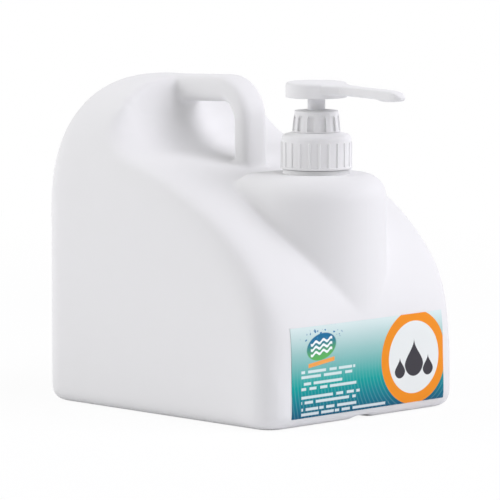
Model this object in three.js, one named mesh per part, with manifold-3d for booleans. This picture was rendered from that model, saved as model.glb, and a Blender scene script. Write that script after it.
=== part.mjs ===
// Hand soap pump bottle: a blow-moulded tank with its own handle, and a screw-on lotion pump.
// Millimetres, +Z up. The spout points to -Y, and the bottle stands on z = 0.

import * as THREE from "three";
import { mergeVertices } from "three/addons/utils/BufferGeometryUtils.js";
import Module from "manifold-3d";

const wasm = await Module();
wasm.setup();

// Tank: overall sizes and edge radii
const BODY_WIDTH = 168;
const BODY_DEPTH = 202;
const BODY_HEIGHT = 204;
const WALL = 1.6;
const CORNER_RADIUS = 16.5;
const BASE_RADIUS = 8;
const SLOPE_EDGE_RADIUS = 16;

// Tank: the front slope is a quarter ellipse in side view, from the front face to the deck
const FRONT_FACE_HEIGHT = 44;
const DECK_HEIGHT = 162;
const DECK_SETBACK = 10.5;
const FRONT_CROWN = 12;

// Tank: the full-height block behind the handle
const BLOCK_DEPTH = 48;
const BLOCK_CREASE_RADIUS = 12;
const CROWN_FLAT = 0.4;
const CROWN_RADIUS = 20;

// Tank: carrying handle, a hollow bar that turns down into a leg
const BAR_THICKNESS = 16;
const LEG_THICKNESS = 11.5;
const HANDLE_WIDTH = 20;
const HANDLE_CORNER_RADIUS = 26;
const LEG_SETBACK = 95.25;
const LEG_LEAN = 2;
const HANDLE_SQUARENESS = 3.2;

// Tank: round tower under the pump, and the groove that the mould pinches into the base
const TOWER_RADIUS = 43;
const TOWER_TOP = 147.5;
const TOWER_RIM_RADIUS = 14.5;
const TOWER_FRONT_SETBACK = 0.5;
const GROOVE_WIDTH = 22;
const GROOVE_SLOPE = 4;
const GROOVE_HEIGHT = 2.4;

// Neck
const NECK_RADIUS = 17.6;
const NECK_BORE = 15.4;
const NECK_HEIGHT = 20.5;
const BEAD_RADIUS = 19.2;
const BEAD_HEIGHT = 1.6;

// Label
const LABEL_WIDTH = 133;
const LABEL_HEIGHT = 53;
const LABEL_BOTTOM = 8.2;
const LABEL_THICKNESS = 0.25;
const LABEL_ADHESIVE = 0.08;

// Clearances: along the pump axis between seated pieces, and around pieces that run in a bore
const SEAT_GAP = 0.1;
const RUNNING_GAP = 0.3;

// Closure
const CLOSURE_LIFT = 3;
const CLOSURE_RADIUS = 22;
const CLOSURE_WALL = 2.1;
const CLOSURE_SHOULDER = 4.5;
const CLOSURE_DOME = 2;
const CLOSURE_RIBS = 22;
const RIB_WIDTH = 1.8;
const RIB_DEPTH = 0.7;
const RIB_INSET = 1.5;
const RIB_SETBACK = 0.07;

// Gasket and pump housing
const GASKET_THICKNESS = 1;
const FLANGE_THICKNESS = 1.2;
const BARREL_BORE = 10.6;
const BARREL_WALL = 1.3;
const BARREL_LENGTH = 52;
const LIP_HEIGHT = 1.5;
const CHAMBER_CLEARANCE = 1;
const CHAMBER_HEIGHT = 5;
const SEAT_HOLE = 2;
const SEAT_HEIGHT = 2.5;
const SEAT_LAND = 1.2;
const SOCKET_LENGTH = 14;
const SOCKET_WALL = 1.9;

// Lock collar
const COLLAR_HEIGHT = 13;
const COLLAR_FOOT_RADIUS = 14.8;
const COLLAR_TOP_RADIUS = 12.9;
const COLLAR_CONE = 0.8;
const COLLAR_CAP = 2.6;
const COLLAR_PLUG = 6;
const COLLAR_FLUTES = 12;
const FLUTE_WIDTH = 3.4;
const FLUTE_DEPTH = 0.9;
const FLUTE_HEIGHT = 9;

// Stem, piston and spring
const STEM_RADIUS = 5.4;
const STEM_BORE = 2.4;
const STEM_FLANGE_RADIUS = 8.4;
const STEM_FLANGE = 1.2;
const STEM_SOCKET = 3.5;
const PISTON_HEIGHT = 8;
const PISTON_LIP = 2.5;
const SPRING_RADIUS = 7.4;
const SPRING_WIRE = 1.2;
const SPRING_TURNS = 8;

// Valve balls and dip tube
const INLET_BALL_RADIUS = 3.4;
const OUTLET_BALL_RADIUS = 3.2;
const BALL_SIDE_GAP = 0.6;
const TUBE_RADIUS = 4;
const TUBE_WALL = 1.1;
const TUBE_FLOOR_GAP = 4;
const TUBE_CUT = 5;

// Actuator head with its spout
const HEAD_GAP = 7;
const HEAD_RADIUS = 18.9;
const HEAD_HEIGHT = 8.6;
const HEAD_DOME = 0.6;
const HEAD_EDGE = 1.4;
const HEAD_WALL = 1.7;
const HEAD_BOSS_WALL = 2.2;
const SPOUT_REACH = 73.5;
const SPOUT_WIDTH = 9.4;
const SPOUT_ROOT_WIDTH = 15;
const SPOUT_SQUARENESS = 3.4;
const SPOUT_DROP = 1.2;
const SPOUT_LIFT = 0.7;
const BEAK_LENGTH = 10;
const BEAK_DROP = 4.8;
const BEAK_RISE = 1.4;
const BEAK_ROUNDNESS = 0.98;
const CHANNEL_RADIUS = 1.5;
const OUTLET_RADIUS = 1.9;

// Places that follow from the sizes
const HALF_WIDTH = BODY_WIDTH / 2;
const FRONT_Y = -BODY_DEPTH / 2;
const BACK_Y = BODY_DEPTH / 2;
const ARCH_SPRING = BODY_HEIGHT - HALF_WIDTH;
const BLOCK_Y = BACK_Y - BLOCK_DEPTH;
const DECK_Y = BACK_Y - DECK_SETBACK;
const PUMP_Y = FRONT_Y + TOWER_FRONT_SETBACK + TOWER_RADIUS;
const SPOUT_TIP_Y = PUMP_Y - SPOUT_REACH;

const NECK_TOP = TOWER_TOP + NECK_HEIGHT;
const GASKET_Z = NECK_TOP + SEAT_GAP;
const FLANGE_Z = GASKET_Z + GASKET_THICKNESS + SEAT_GAP;
const FLANGE_TOP = FLANGE_Z + FLANGE_THICKNESS;
const CLOSURE_Z = TOWER_TOP + CLOSURE_LIFT;
const CLOSURE_CEILING = FLANGE_TOP + SEAT_GAP;
const CLOSURE_TOP = CLOSURE_CEILING + CLOSURE_WALL + CLOSURE_DOME / 2;
const CLOSURE_BORE = CLOSURE_RADIUS - RIB_DEPTH - CLOSURE_WALL;
const BARREL_RADIUS = BARREL_BORE + BARREL_WALL;
const BARREL_FLOOR = FLANGE_TOP - BARREL_LENGTH;
const COLLAR_Z = CLOSURE_TOP + RUNNING_GAP;
const COLLAR_RIM = COLLAR_Z + COLLAR_HEIGHT;
const COLLAR_TOP = COLLAR_RIM + COLLAR_CONE;
const COLLAR_CEILING = COLLAR_RIM - COLLAR_CAP;
const PLUG_Z = COLLAR_CEILING - COLLAR_PLUG;
const PISTON_TOP = PLUG_Z - SEAT_GAP;
const PISTON_Z = PISTON_TOP - PISTON_HEIGHT;
const STEM_FLANGE_TOP = PISTON_Z - SEAT_GAP;
const STEM_Z = STEM_FLANGE_TOP - STEM_FLANGE;
const HEAD_Z = COLLAR_TOP + HEAD_GAP;
const HEAD_TOP = HEAD_Z + HEAD_HEIGHT;
const STEM_TOP = HEAD_Z + STEM_SOCKET;
const CHAMBER_TOP = BARREL_FLOOR - LIP_HEIGHT;
const CHAMBER_FLOOR = CHAMBER_TOP - CHAMBER_HEIGHT;
const INLET_CHAMBER = INLET_BALL_RADIUS + CHAMBER_CLEARANCE;
const SEAT_Z = CHAMBER_FLOOR - SEAT_HEIGHT;
const SOCKET_TOP = SEAT_Z - SEAT_LAND;
const SOCKET_BORE = TUBE_RADIUS + RUNNING_GAP;
const SOCKET_RADIUS = SOCKET_BORE + SOCKET_WALL;
const SOCKET_Z = SOCKET_TOP - SOCKET_LENGTH;
const OUTLET_CHAMBER = OUTLET_BALL_RADIUS + BALL_SIDE_GAP;
const OUTLET_SEAT_HEIGHT = OUTLET_CHAMBER - STEM_BORE;
const OUTLET_CHAMBER_HEIGHT = 2 * OUTLET_BALL_RADIUS;
const OUTLET_SEAT_Z = STEM_TOP - OUTLET_CHAMBER_HEIGHT - OUTLET_SEAT_HEIGHT;

// How finely round shapes are divided
const LATHE_SIDES = 32;
const SLOPE_STATIONS = 13;
const ROUND_STATIONS = 4;
const STATION_CROWDING = 1.4;
const SIDE_STEPS = 10;
const FOOT_STEPS = 3;
const EDGE_STEPS = 4;
const TOP_STEPS = 3;
const TOWER_STEPS = 11;
const HANDLE_STEPS = 8;
const OVAL_POINTS = 20;
const BEAK_STEPS = 4;
const LABEL_STEPS = 10;
const TUBE_SIDES = 24;
const CHANNEL_SIDES = 12;
const BALL_SIDES = 16;
const BALL_RINGS = 9;
const WIRE_SIDES = 6;
const TURN_STEPS = 12;

// Materials
const plastic = (color, roughness) => new THREE.MeshStandardMaterial({ color, roughness, metalness: 0 });
const tankPlastic = plastic(0xf1f1f3, 0.42);
const pumpPlastic = plastic(0xf4f4f6, 0.32);
const innerPlastic = plastic(0xe9ebec, 0.4);
const gasketFoam = plastic(0xdfe1e0, 0.8);
const tubePlastic = plastic(0xe6e9ea, 0.3);
const labelFilm = plastic(0x2f9f95, 0.38);
const steel = new THREE.MeshStandardMaterial({ color: 0xb9bcc0, roughness: 0.28, metalness: 1 });

// Solids and meshes

function solidOf(geometry) {
  const bare = geometry.clone();
  bare.deleteAttribute("normal");
  bare.deleteAttribute("uv");
  const merged = mergeVertices(bare, 1e-4);
  const corners = merged.index.array;
  const kept = [];
  for (let i = 0; i < corners.length; i += 3) {
    const [a, b, c] = [corners[i], corners[i + 1], corners[i + 2]];
    if (a !== b && b !== c && c !== a) kept.push(a, b, c);
  }
  const vertProperties = Float32Array.from(merged.attributes.position.array);
  return new wasm.Manifold(new wasm.Mesh({ numProp: 3, vertProperties, triVerts: Uint32Array.from(kept) }));
}

function geometryOf(solid) {
  const mesh = solid.getMesh();
  const geometry = new THREE.BufferGeometry();
  geometry.setAttribute("position", new THREE.BufferAttribute(mesh.vertProperties, 3));
  geometry.setIndex(new THREE.BufferAttribute(mesh.triVerts, 1));
  geometry.computeVertexNormals();
  return geometry;
}

const joined = (first, ...others) => others.reduce((sum, solid) => sum.add(solid), first);
const cut = (solid, ...cutters) => cutters.reduce((rest, cutter) => rest.subtract(cutter), solid);

// A skin through rings of equal length, closed at both ends: by a fan about the middle of the ring,
// or for a thin strip that bends, by a ladder between its two long sides
function loft(rings, ladderEnds = false) {
  const count = rings[0].length;
  const points = rings.flat();
  const index = [];
  for (let ring = 0; ring < rings.length - 1; ring++) {
    for (let i = 0; i < count; i++) {
      const a = ring * count + i;
      const b = ring * count + ((i + 1) % count);
      index.push(a, b, a + count, b, b + count, a + count);
    }
  }
  for (const ring of [0, rings.length - 1]) {
    const end = [];
    const corner = (i) => ring * count + ((i + count) % count);
    if (ladderEnds) {
      for (let i = 0; i < count / 2 - 1; i++) {
        end.push([corner(i), corner(i + 1), corner(-1 - i)]);
        end.push([corner(i + 1), corner(-2 - i), corner(-1 - i)]);
      }
    } else {
      const middle = new THREE.Vector3();
      rings[ring].forEach((point) => middle.addScaledVector(point, 1 / count));
      points.push(middle);
      for (let i = 0; i < count; i++) end.push([points.length - 1, corner(i), corner(i + 1)]);
    }
    end.forEach((triangle) => index.push(...(ring === 0 ? triangle.reverse() : triangle)));
  }
  const geometry = new THREE.BufferGeometry().setFromPoints(points);
  geometry.setIndex(index);
  return solidOf(geometry);
}

// A soft-cornered oval round a centre, with its two half-axes as vectors
function ovalRing(centre, across, along, squareness, count = OVAL_POINTS) {
  const soft = (value) => Math.sign(value) * Math.abs(value) ** (2 / squareness);
  return Array.from({ length: count }, (_, i) => {
    const turn = ((i + 0.5) / count) * 2 * Math.PI;
    const point = centre.clone().addScaledVector(across, soft(Math.cos(turn)));
    return point.addScaledVector(along, soft(Math.sin(turn)));
  });
}

// A closed profile of [radius, height] corners, turned about the vertical axis
function turned(profile, sides = LATHE_SIDES) {
  const points = [...profile, profile[0]].map(([radius, height]) => new THREE.Vector2(radius, height));
  return solidOf(new THREE.LatheGeometry(points, sides).rotateX(Math.PI / 2));
}

// How far a rounded end draws its section in, at a depth below the end
function roundedInset(depth, radius) {
  const rest = THREE.MathUtils.clamp(radius - depth, 0, radius);
  return radius - Math.sqrt(radius * radius - rest * rest);
}

// Depths below a rounded end that step evenly round its edge
function roundedDepths(radius) {
  return Array.from({ length: ROUND_STATIONS + 1 }, (_, i) => {
    return radius * (1 - Math.cos((i / ROUND_STATIONS) * (Math.PI / 2)));
  });
}

// Tank

// One upright section of the tank at y: flat base, straight sides that run into arched shoulders,
// a rounded edge, and a top that rises by crown towards the middle
function tankSection(y, { halfWidth, base, baseRadius, top, edgeRadius, crown }) {
  const edgeZ = top - edgeRadius;
  const rise = Math.max(edgeZ - ARCH_SPRING, 0);
  const edgeX = Math.sqrt((halfWidth - edgeRadius) ** 2 - rise ** 2);
  const shoulderAngle = Math.atan2(rise, edgeX);

  const foot = new THREE.Path();
  foot.absarc(halfWidth - baseRadius, base + baseRadius, baseRadius, -Math.PI / 2, 0);
  const side = new THREE.Path();
  side.moveTo(halfWidth, base + baseRadius);
  side.lineTo(halfWidth, Math.min(ARCH_SPRING, edgeZ));
  if (rise > 0) side.absarc(0, ARCH_SPRING, halfWidth, 0, shoulderAngle);
  const edge = new THREE.Path();
  edge.absarc(edgeX, edgeZ, edgeRadius, shoulderAngle, Math.PI / 2);

  // the steps up the side grow shorter towards the arch
  const sidePoints = Array.from({ length: SIDE_STEPS - 1 }, (_, i) => {
    return side.getPointAt(Math.sqrt((i + 1) / SIDE_STEPS));
  });
  const topPoints = Array.from({ length: TOP_STEPS - 1 }, (_, i) => {
    const share = 1 - (i + 1) / TOP_STEPS;
    return new THREE.Vector2(edgeX * share, top + crown * (1 - share ** 2));
  });
  const half = [...foot.getPoints(FOOT_STEPS), ...sidePoints, ...edge.getPoints(EDGE_STEPS), ...topPoints];
  const right = half.map(({ x, y: z }) => new THREE.Vector3(x, y, z));
  const left = half.map(({ x, y: z }) => new THREE.Vector3(-x, y, z)).reverse();
  return [...right, new THREE.Vector3(0, y, top + crown), ...left, new THREE.Vector3(0, y, base)];
}

// How far up its rise the edge of the slope is at y, from 0 at the front face to 1 at the deck
const slopeShare = (y, inset) => {
  const run = DECK_Y - FRONT_Y - inset;
  return Math.sqrt(Math.max(1 - ((DECK_Y - y) / run) ** 2, 0));
};

// The tank below the deck and the slope; inset draws every face in by that much
function slopedBody(inset) {
  const run = DECK_Y - FRONT_Y - inset;
  const lastAngle = Math.acos((DECK_Y - BLOCK_Y - BLOCK_CREASE_RADIUS) / run);
  const sizes = (y, extra) => {
    const depth = y - FRONT_Y - inset;
    const share = slopeShare(y, inset);
    return {
      halfWidth: HALF_WIDTH - inset - extra - roundedInset(depth, CORNER_RADIUS - inset),
      base: inset + extra + roundedInset(depth, BASE_RADIUS - inset),
      baseRadius: BASE_RADIUS - inset,
      top: FRONT_FACE_HEIGHT + (DECK_HEIGHT - inset - FRONT_FACE_HEIGHT) * share - extra,
      edgeRadius: SLOPE_EDGE_RADIUS - inset,
      crown: FRONT_CROWN * (1 - share),
    };
  };
  const rings = [];
  for (let i = 0; i < SLOPE_STATIONS; i++) {
    const angle = lastAngle * (i / (SLOPE_STATIONS - 1)) ** STATION_CROWDING;
    const y = DECK_Y - run * Math.cos(angle);
    rings.push(tankSection(y, sizes(y, 0)));
  }
  // the rear end tapers away inside the block
  const endY = BLOCK_Y + BLOCK_CREASE_RADIUS + BASE_RADIUS;
  rings.push(tankSection(endY, sizes(endY, 2 * WALL)));
  return loft(rings.reverse());
}

// The full-height block at the back, arched like a tombstone
function backBlock(inset) {
  const section = (y, sideInset, baseInset) => {
    const halfWidth = HALF_WIDTH - inset - sideInset;
    return tankSection(y, {
      halfWidth,
      base: inset + baseInset,
      baseRadius: BASE_RADIUS - inset,
      top: ARCH_SPRING + halfWidth - CROWN_FLAT,
      edgeRadius: CROWN_RADIUS,
      crown: 0,
    });
  };
  const backRadius = CORNER_RADIUS - inset;
  const creaseRadius = BLOCK_CREASE_RADIUS - inset;
  const rings = roundedDepths(backRadius).map((depth) => {
    const baseInset = roundedInset(depth, BASE_RADIUS - inset);
    return section(BACK_Y - inset - depth, roundedInset(depth, backRadius), baseInset);
  });
  for (const depth of roundedDepths(creaseRadius).reverse()) {
    const drawnIn = roundedInset(depth, creaseRadius);
    rings.push(section(BLOCK_Y + inset + depth, drawnIn, Math.min(drawnIn, BASE_RADIUS)));
  }
  return loft(rings);
}

// The carrying handle: out of the block, round its corner and down into the deck
function handle(inset) {
  const legY = FRONT_Y + LEG_SETBACK;
  const cornerY = legY + HANDLE_CORNER_RADIUS;
  const cornerZ = BODY_HEIGHT - HANDLE_CORNER_RADIUS;
  const ring = (y, z, angle, thickness) => {
    const out = new THREE.Vector3(0, Math.cos(angle), Math.sin(angle));
    const middle = new THREE.Vector3(0, y, z).addScaledVector(out, HANDLE_CORNER_RADIUS - thickness / 2);
    const across = new THREE.Vector3(HANDLE_WIDTH / 2 - inset, 0, 0);
    return ovalRing(middle, across, out.multiplyScalar(thickness / 2 - inset), HANDLE_SQUARENESS);
  };
  const rings = [ring(BACK_Y - BLOCK_DEPTH / 2, cornerZ, Math.PI / 2, BAR_THICKNESS)];
  for (let i = 0; i <= HANDLE_STEPS; i++) {
    const share = i / HANDLE_STEPS;
    const thickness = BAR_THICKNESS + (LEG_THICKNESS - BAR_THICKNESS) * share;
    rings.push(ring(cornerY, cornerZ, (Math.PI / 2) * (1 + share), thickness));
  }
  const deckZ = FRONT_FACE_HEIGHT + (DECK_HEIGHT - FRONT_FACE_HEIGHT) * slopeShare(legY, 0);
  const footZ = deckZ - LEG_THICKNESS;
  rings.push(ring(cornerY - LEG_LEAN, footZ, Math.PI, LEG_THICKNESS));
  return loft(rings);
}

// The tower: round in front, straight sides running back into the slope, a rounded rim and an upright rear
function tower(inset) {
  const ring = (drawnIn, z) => {
    const radius = TOWER_RADIUS - inset - drawnIn;
    const outline = new THREE.Path();
    outline.absarc(0, PUMP_Y, radius, Math.PI, 2 * Math.PI);
    const front = outline.getPoints(TOWER_STEPS);
    const rearY = PUMP_Y + TOWER_RADIUS - inset;
    const rear = Array.from({ length: TOP_STEPS + 1 }, (_, i) => {
      return new THREE.Vector2(radius * (1 - (2 * i) / TOP_STEPS), rearY);
    });
    return [...front, ...rear].map(({ x, y }) => new THREE.Vector3(x, y, z));
  };
  const rimRadius = TOWER_RIM_RADIUS - inset;
  const top = TOWER_TOP - inset;
  const rings = [ring(0, FRONT_FACE_HEIGHT)];
  for (const depth of roundedDepths(rimRadius).reverse()) {
    rings.push(ring(roundedInset(depth, rimRadius), top - depth));
  }
  return loft(rings);
}

// A groove along the base with sloping sides, grown by margin on its upper side
function baseGroove(margin) {
  const half = GROOVE_WIDTH / 2 + margin;
  const height = GROOVE_HEIGHT + margin;
  const ring = (y) => [
    new THREE.Vector3(-half, y, -GROOVE_HEIGHT),
    new THREE.Vector3(-half, y, 0),
    new THREE.Vector3(-half + GROOVE_SLOPE, y, height),
    new THREE.Vector3(half - GROOVE_SLOPE, y, height),
    new THREE.Vector3(half, y, 0),
    new THREE.Vector3(half, y, -GROOVE_HEIGHT),
  ];
  return loft([ring(BACK_Y + GROOVE_WIDTH), ring(FRONT_Y - GROOVE_WIDTH)].reverse());
}

function bottle() {
  const body = (inset) => joined(slopedBody(inset), backBlock(inset), handle(inset), tower(inset));
  const neck = turned([
    [0, TOWER_TOP - 2 * WALL],
    [BEAD_RADIUS, TOWER_TOP - 2 * WALL],
    [BEAD_RADIUS, TOWER_TOP + BEAD_HEIGHT],
    [NECK_RADIUS, TOWER_TOP + BEAD_HEIGHT],
    [NECK_RADIUS, NECK_TOP],
    [0, NECK_TOP],
  ]).translate([0, PUMP_Y, 0]);
  const bore = turned([
    [0, TOWER_TOP - 4 * WALL],
    [NECK_BORE, TOWER_TOP - 4 * WALL],
    [NECK_BORE, NECK_TOP + WALL],
    [0, NECK_TOP + WALL],
  ]).translate([0, PUMP_Y, 0]);
  const outside = cut(body(0), baseGroove(0)).add(neck);
  const inside = cut(body(WALL), baseGroove(WALL)).add(bore);
  return outside.subtract(inside);
}

// Label: a film that follows the front face, which leans back above its flat part

function frontSurface(x, z) {
  const edgeX = HALF_WIDTH - CORNER_RADIUS;
  const flatTop = FRONT_FACE_HEIGHT + FRONT_CROWN * (1 - (x / edgeX) ** 2);
  const share = Math.max(z - flatTop, 0) / (DECK_HEIGHT - flatTop);
  return DECK_Y - (DECK_Y - FRONT_Y) * Math.sqrt(1 - share ** 2);
}

function frontLabel() {
  const ring = (z) => {
    const layer = (offset) => Array.from({ length: LABEL_STEPS + 1 }, (_, i) => {
      const x = (i / LABEL_STEPS - 0.5) * LABEL_WIDTH;
      return new THREE.Vector3(x, frontSurface(x, z) - offset, z);
    });
    return [...layer(LABEL_ADHESIVE + LABEL_THICKNESS), ...layer(LABEL_ADHESIVE).reverse()];
  };
  const rings = Array.from({ length: LABEL_STEPS + 1 }, (_, i) => {
    return ring(LABEL_BOTTOM + (i / LABEL_STEPS) * LABEL_HEIGHT);
  });
  return loft(rings, true);
}

// Pump pieces, all about the vertical axis of the pump

// Copies of one solid, evenly turned about the axis
function ringOf(count, solid) {
  return Array.from({ length: count }, (_, i) => solid.rotate([0, 0, (i * 360) / count]));
}

function closure() {
  const outer = CLOSURE_RADIUS - RIB_DEPTH;
  const shoulderZ = CLOSURE_TOP - CLOSURE_DOME - CLOSURE_SHOULDER;
  const boreRadius = BARREL_RADIUS + 2 * RUNNING_GAP;
  const shoulderDepth = CLOSURE_SHOULDER / 2;
  const shoulder = new THREE.Path();
  shoulder.absellipse(outer - shoulderDepth, shoulderZ, shoulderDepth, CLOSURE_SHOULDER, 0, Math.PI / 2);
  const shell = turned([
    [CLOSURE_BORE, CLOSURE_Z],
    [CLOSURE_RADIUS, CLOSURE_Z],
    [CLOSURE_RADIUS, CLOSURE_Z + RIB_INSET],
    [outer, CLOSURE_Z + RIB_INSET],
    ...shoulder.getPoints(EDGE_STEPS).map(({ x, y }) => [x, y]),
    [COLLAR_FOOT_RADIUS, CLOSURE_TOP],
    [boreRadius, CLOSURE_TOP],
    [boreRadius, CLOSURE_CEILING],
    [CLOSURE_BORE, CLOSURE_CEILING],
  ], 2 * CLOSURE_RIBS);
  const ribHeight = shoulderZ - CLOSURE_Z - RIB_INSET / 2;
  const rib = solidOf(new THREE.BoxGeometry(2 * RIB_DEPTH, RIB_WIDTH, ribHeight))
    .translate([CLOSURE_RADIUS - RIB_SETBACK - RIB_DEPTH, 0, shoulderZ - ribHeight / 2]);
  return joined(shell, ...ringOf(CLOSURE_RIBS, rib));
}

function neckGasket() {
  return turned([
    [NECK_BORE, GASKET_Z],
    [NECK_RADIUS, GASKET_Z],
    [NECK_RADIUS, GASKET_Z + GASKET_THICKNESS],
    [NECK_BORE, GASKET_Z + GASKET_THICKNESS],
  ]);
}

function pumpHousing() {
  const guideTop = COLLAR_CEILING - RUNNING_GAP;
  return turned([
    [BARREL_BORE, guideTop],
    [BARREL_BORE, BARREL_FLOOR],
    [INLET_BALL_RADIUS - RUNNING_GAP, BARREL_FLOOR],
    [INLET_BALL_RADIUS - RUNNING_GAP, CHAMBER_TOP],
    [INLET_CHAMBER, CHAMBER_TOP],
    [INLET_CHAMBER, CHAMBER_FLOOR],
    [SEAT_HOLE, SEAT_Z],
    [SEAT_HOLE, SOCKET_TOP],
    [SOCKET_BORE, SOCKET_TOP],
    [SOCKET_BORE, SOCKET_Z],
    [SOCKET_RADIUS, SOCKET_Z],
    [SOCKET_RADIUS, CHAMBER_FLOOR],
    [BARREL_RADIUS, CHAMBER_TOP],
    [BARREL_RADIUS, FLANGE_Z],
    [NECK_RADIUS, FLANGE_Z],
    [NECK_RADIUS, FLANGE_TOP],
    [BARREL_RADIUS, FLANGE_TOP],
    [BARREL_RADIUS, guideTop],
  ]);
}

function lockCollar() {
  const bore = BARREL_RADIUS + RUNNING_GAP;
  const plug = BARREL_BORE - RUNNING_GAP;
  const stemHole = STEM_RADIUS + RUNNING_GAP;
  const shell = turned([
    [bore, COLLAR_Z],
    [COLLAR_FOOT_RADIUS, COLLAR_Z],
    [COLLAR_FOOT_RADIUS, COLLAR_Z + COLLAR_CONE],
    [COLLAR_TOP_RADIUS, COLLAR_RIM],
    [stemHole, COLLAR_TOP],
    [stemHole, PLUG_Z],
    [plug, PLUG_Z],
    [plug, COLLAR_CEILING],
    [bore, COLLAR_CEILING],
  ]);
  const slant = Math.atan2(COLLAR_FOOT_RADIUS - COLLAR_TOP_RADIUS, COLLAR_HEIGHT - COLLAR_CONE);
  const middleRadius = (COLLAR_FOOT_RADIUS + COLLAR_TOP_RADIUS) / 2;
  const flute = solidOf(new THREE.BoxGeometry(2 * FLUTE_DEPTH, FLUTE_WIDTH, FLUTE_HEIGHT))
    .rotate([0, -THREE.MathUtils.radToDeg(slant), 0])
    .translate([middleRadius, 0, COLLAR_Z + COLLAR_HEIGHT / 2]);
  return cut(shell, ...ringOf(COLLAR_FLUTES, flute));
}

function stem() {
  return turned([
    [STEM_BORE, STEM_Z],
    [STEM_FLANGE_RADIUS, STEM_Z],
    [STEM_FLANGE_RADIUS, STEM_FLANGE_TOP],
    [STEM_RADIUS, STEM_FLANGE_TOP],
    [STEM_RADIUS, STEM_TOP],
    [OUTLET_CHAMBER, STEM_TOP],
    [OUTLET_CHAMBER, OUTLET_SEAT_Z + OUTLET_SEAT_HEIGHT],
    [STEM_BORE, OUTLET_SEAT_Z],
  ]);
}

// A hub on the stem and a thin lip at each end that bears on the barrel
function piston() {
  const hub = STEM_RADIUS + RUNNING_GAP;
  const lip = BARREL_BORE - RUNNING_GAP;
  const waist = (hub + lip) / 2;
  return turned([
    [hub, PISTON_Z],
    [lip, PISTON_Z],
    [lip, PISTON_Z + PISTON_LIP],
    [waist, PISTON_Z + PISTON_LIP],
    [waist, PISTON_TOP - PISTON_LIP],
    [lip, PISTON_TOP - PISTON_LIP],
    [lip, PISTON_TOP],
    [hub, PISTON_TOP],
  ]);
}

class Helix extends THREE.Curve {
  constructor(radius, bottom, top, turns) {
    super();
    Object.assign(this, { radius, bottom, top, turns });
  }

  getPoint(share, target = new THREE.Vector3()) {
    const angle = share * this.turns * 2 * Math.PI;
    const height = this.bottom + (this.top - this.bottom) * share;
    return target.set(this.radius * Math.cos(angle), this.radius * Math.sin(angle), height);
  }
}

function returnSpring() {
  const reach = SPRING_WIRE / 2 + SEAT_GAP;
  const helix = new Helix(SPRING_RADIUS, BARREL_FLOOR + reach, STEM_Z - reach, SPRING_TURNS);
  const wire = new THREE.Shape().absarc(0, 0, SPRING_WIRE / 2, 0, 2 * Math.PI);
  return solidOf(new THREE.ExtrudeGeometry(wire, {
    extrudePath: helix,
    steps: SPRING_TURNS * TURN_STEPS,
    curveSegments: WIRE_SIDES / 2,
    bevelEnabled: false,
  }));
}

// A ball resting on a conical seat that widens from the hole upwards
function seatedBall(radius, hole, rim, seatZ, seatHeight) {
  const slope = Math.atan2(rim - hole, seatHeight);
  const centre = seatZ - hole / Math.tan(slope) + (radius + SEAT_GAP) / Math.sin(slope);
  const ball = new THREE.SphereGeometry(radius, BALL_SIDES, BALL_RINGS).rotateX(Math.PI / 2);
  return solidOf(ball).translate([0, 0, centre]);
}

function dipTube() {
  const foot = WALL + GROOVE_HEIGHT + TUBE_FLOOR_GAP;
  const top = SOCKET_TOP - SEAT_GAP;
  const tube = turned([
    [TUBE_RADIUS - TUBE_WALL, foot],
    [TUBE_RADIUS, foot],
    [TUBE_RADIUS, top],
    [TUBE_RADIUS - TUBE_WALL, top],
  ], TUBE_SIDES);
  const slant = THREE.MathUtils.radToDeg(Math.atan2(TUBE_CUT, 2 * TUBE_RADIUS));
  const blade = solidOf(new THREE.BoxGeometry(8 * TUBE_RADIUS, 4 * TUBE_RADIUS, 4 * TUBE_RADIUS))
    .translate([0, 0, -2 * TUBE_RADIUS])
    .rotate([0, slant, 0])
    .translate([0, 0, foot + TUBE_CUT / 2]);
  return tube.subtract(blade);
}

// The spout: wide where it leaves the pad, level along its run, then a beak that turns down to the tip
function spout() {
  const top = HEAD_TOP - HEAD_EDGE / 4;
  const runEnd = SPOUT_REACH - 2 * BEAK_LENGTH;
  const beak = SPOUT_REACH - BEAK_LENGTH;
  const run = beak - HEAD_RADIUS;
  const sloping = (distance) => top - (SPOUT_DROP * (distance - HEAD_RADIUS)) / run;
  const ring = (distance, under, upper, width) => {
    const centre = new THREE.Vector3(0, -distance, (under + upper) / 2);
    const along = new THREE.Vector3(0, 0, (upper - under) / 2);
    return ovalRing(centre, new THREE.Vector3(width / 2, 0, 0), along, SPOUT_SQUARENESS);
  };
  const rings = [
    ring(HEAD_RADIUS / 2, HEAD_Z + SPOUT_LIFT, top, SPOUT_ROOT_WIDTH),
    ring(HEAD_RADIUS, HEAD_Z + SPOUT_LIFT, top, SPOUT_ROOT_WIDTH),
    ring(HEAD_RADIUS + BEAK_LENGTH, HEAD_Z + SPOUT_LIFT, sloping(HEAD_RADIUS + BEAK_LENGTH), SPOUT_WIDTH),
    ring(runEnd, HEAD_Z + SPOUT_LIFT, sloping(runEnd), SPOUT_WIDTH),
    ring(runEnd + BEAK_LENGTH / 2, HEAD_Z, sloping(runEnd + BEAK_LENGTH / 2), SPOUT_WIDTH),
  ];
  for (let i = 0; i <= BEAK_STEPS; i++) {
    const share = i / BEAK_STEPS;
    const fall = BEAK_DROP * (1 - Math.sqrt(1 - (BEAK_ROUNDNESS * share) ** 2));
    const under = HEAD_Z + BEAK_RISE * share ** 2;
    rings.push(ring(beak + BEAK_LENGTH * share, under, top - SPOUT_DROP - fall, SPOUT_WIDTH - share ** 2));
  }
  return loft(rings);
}

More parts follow.
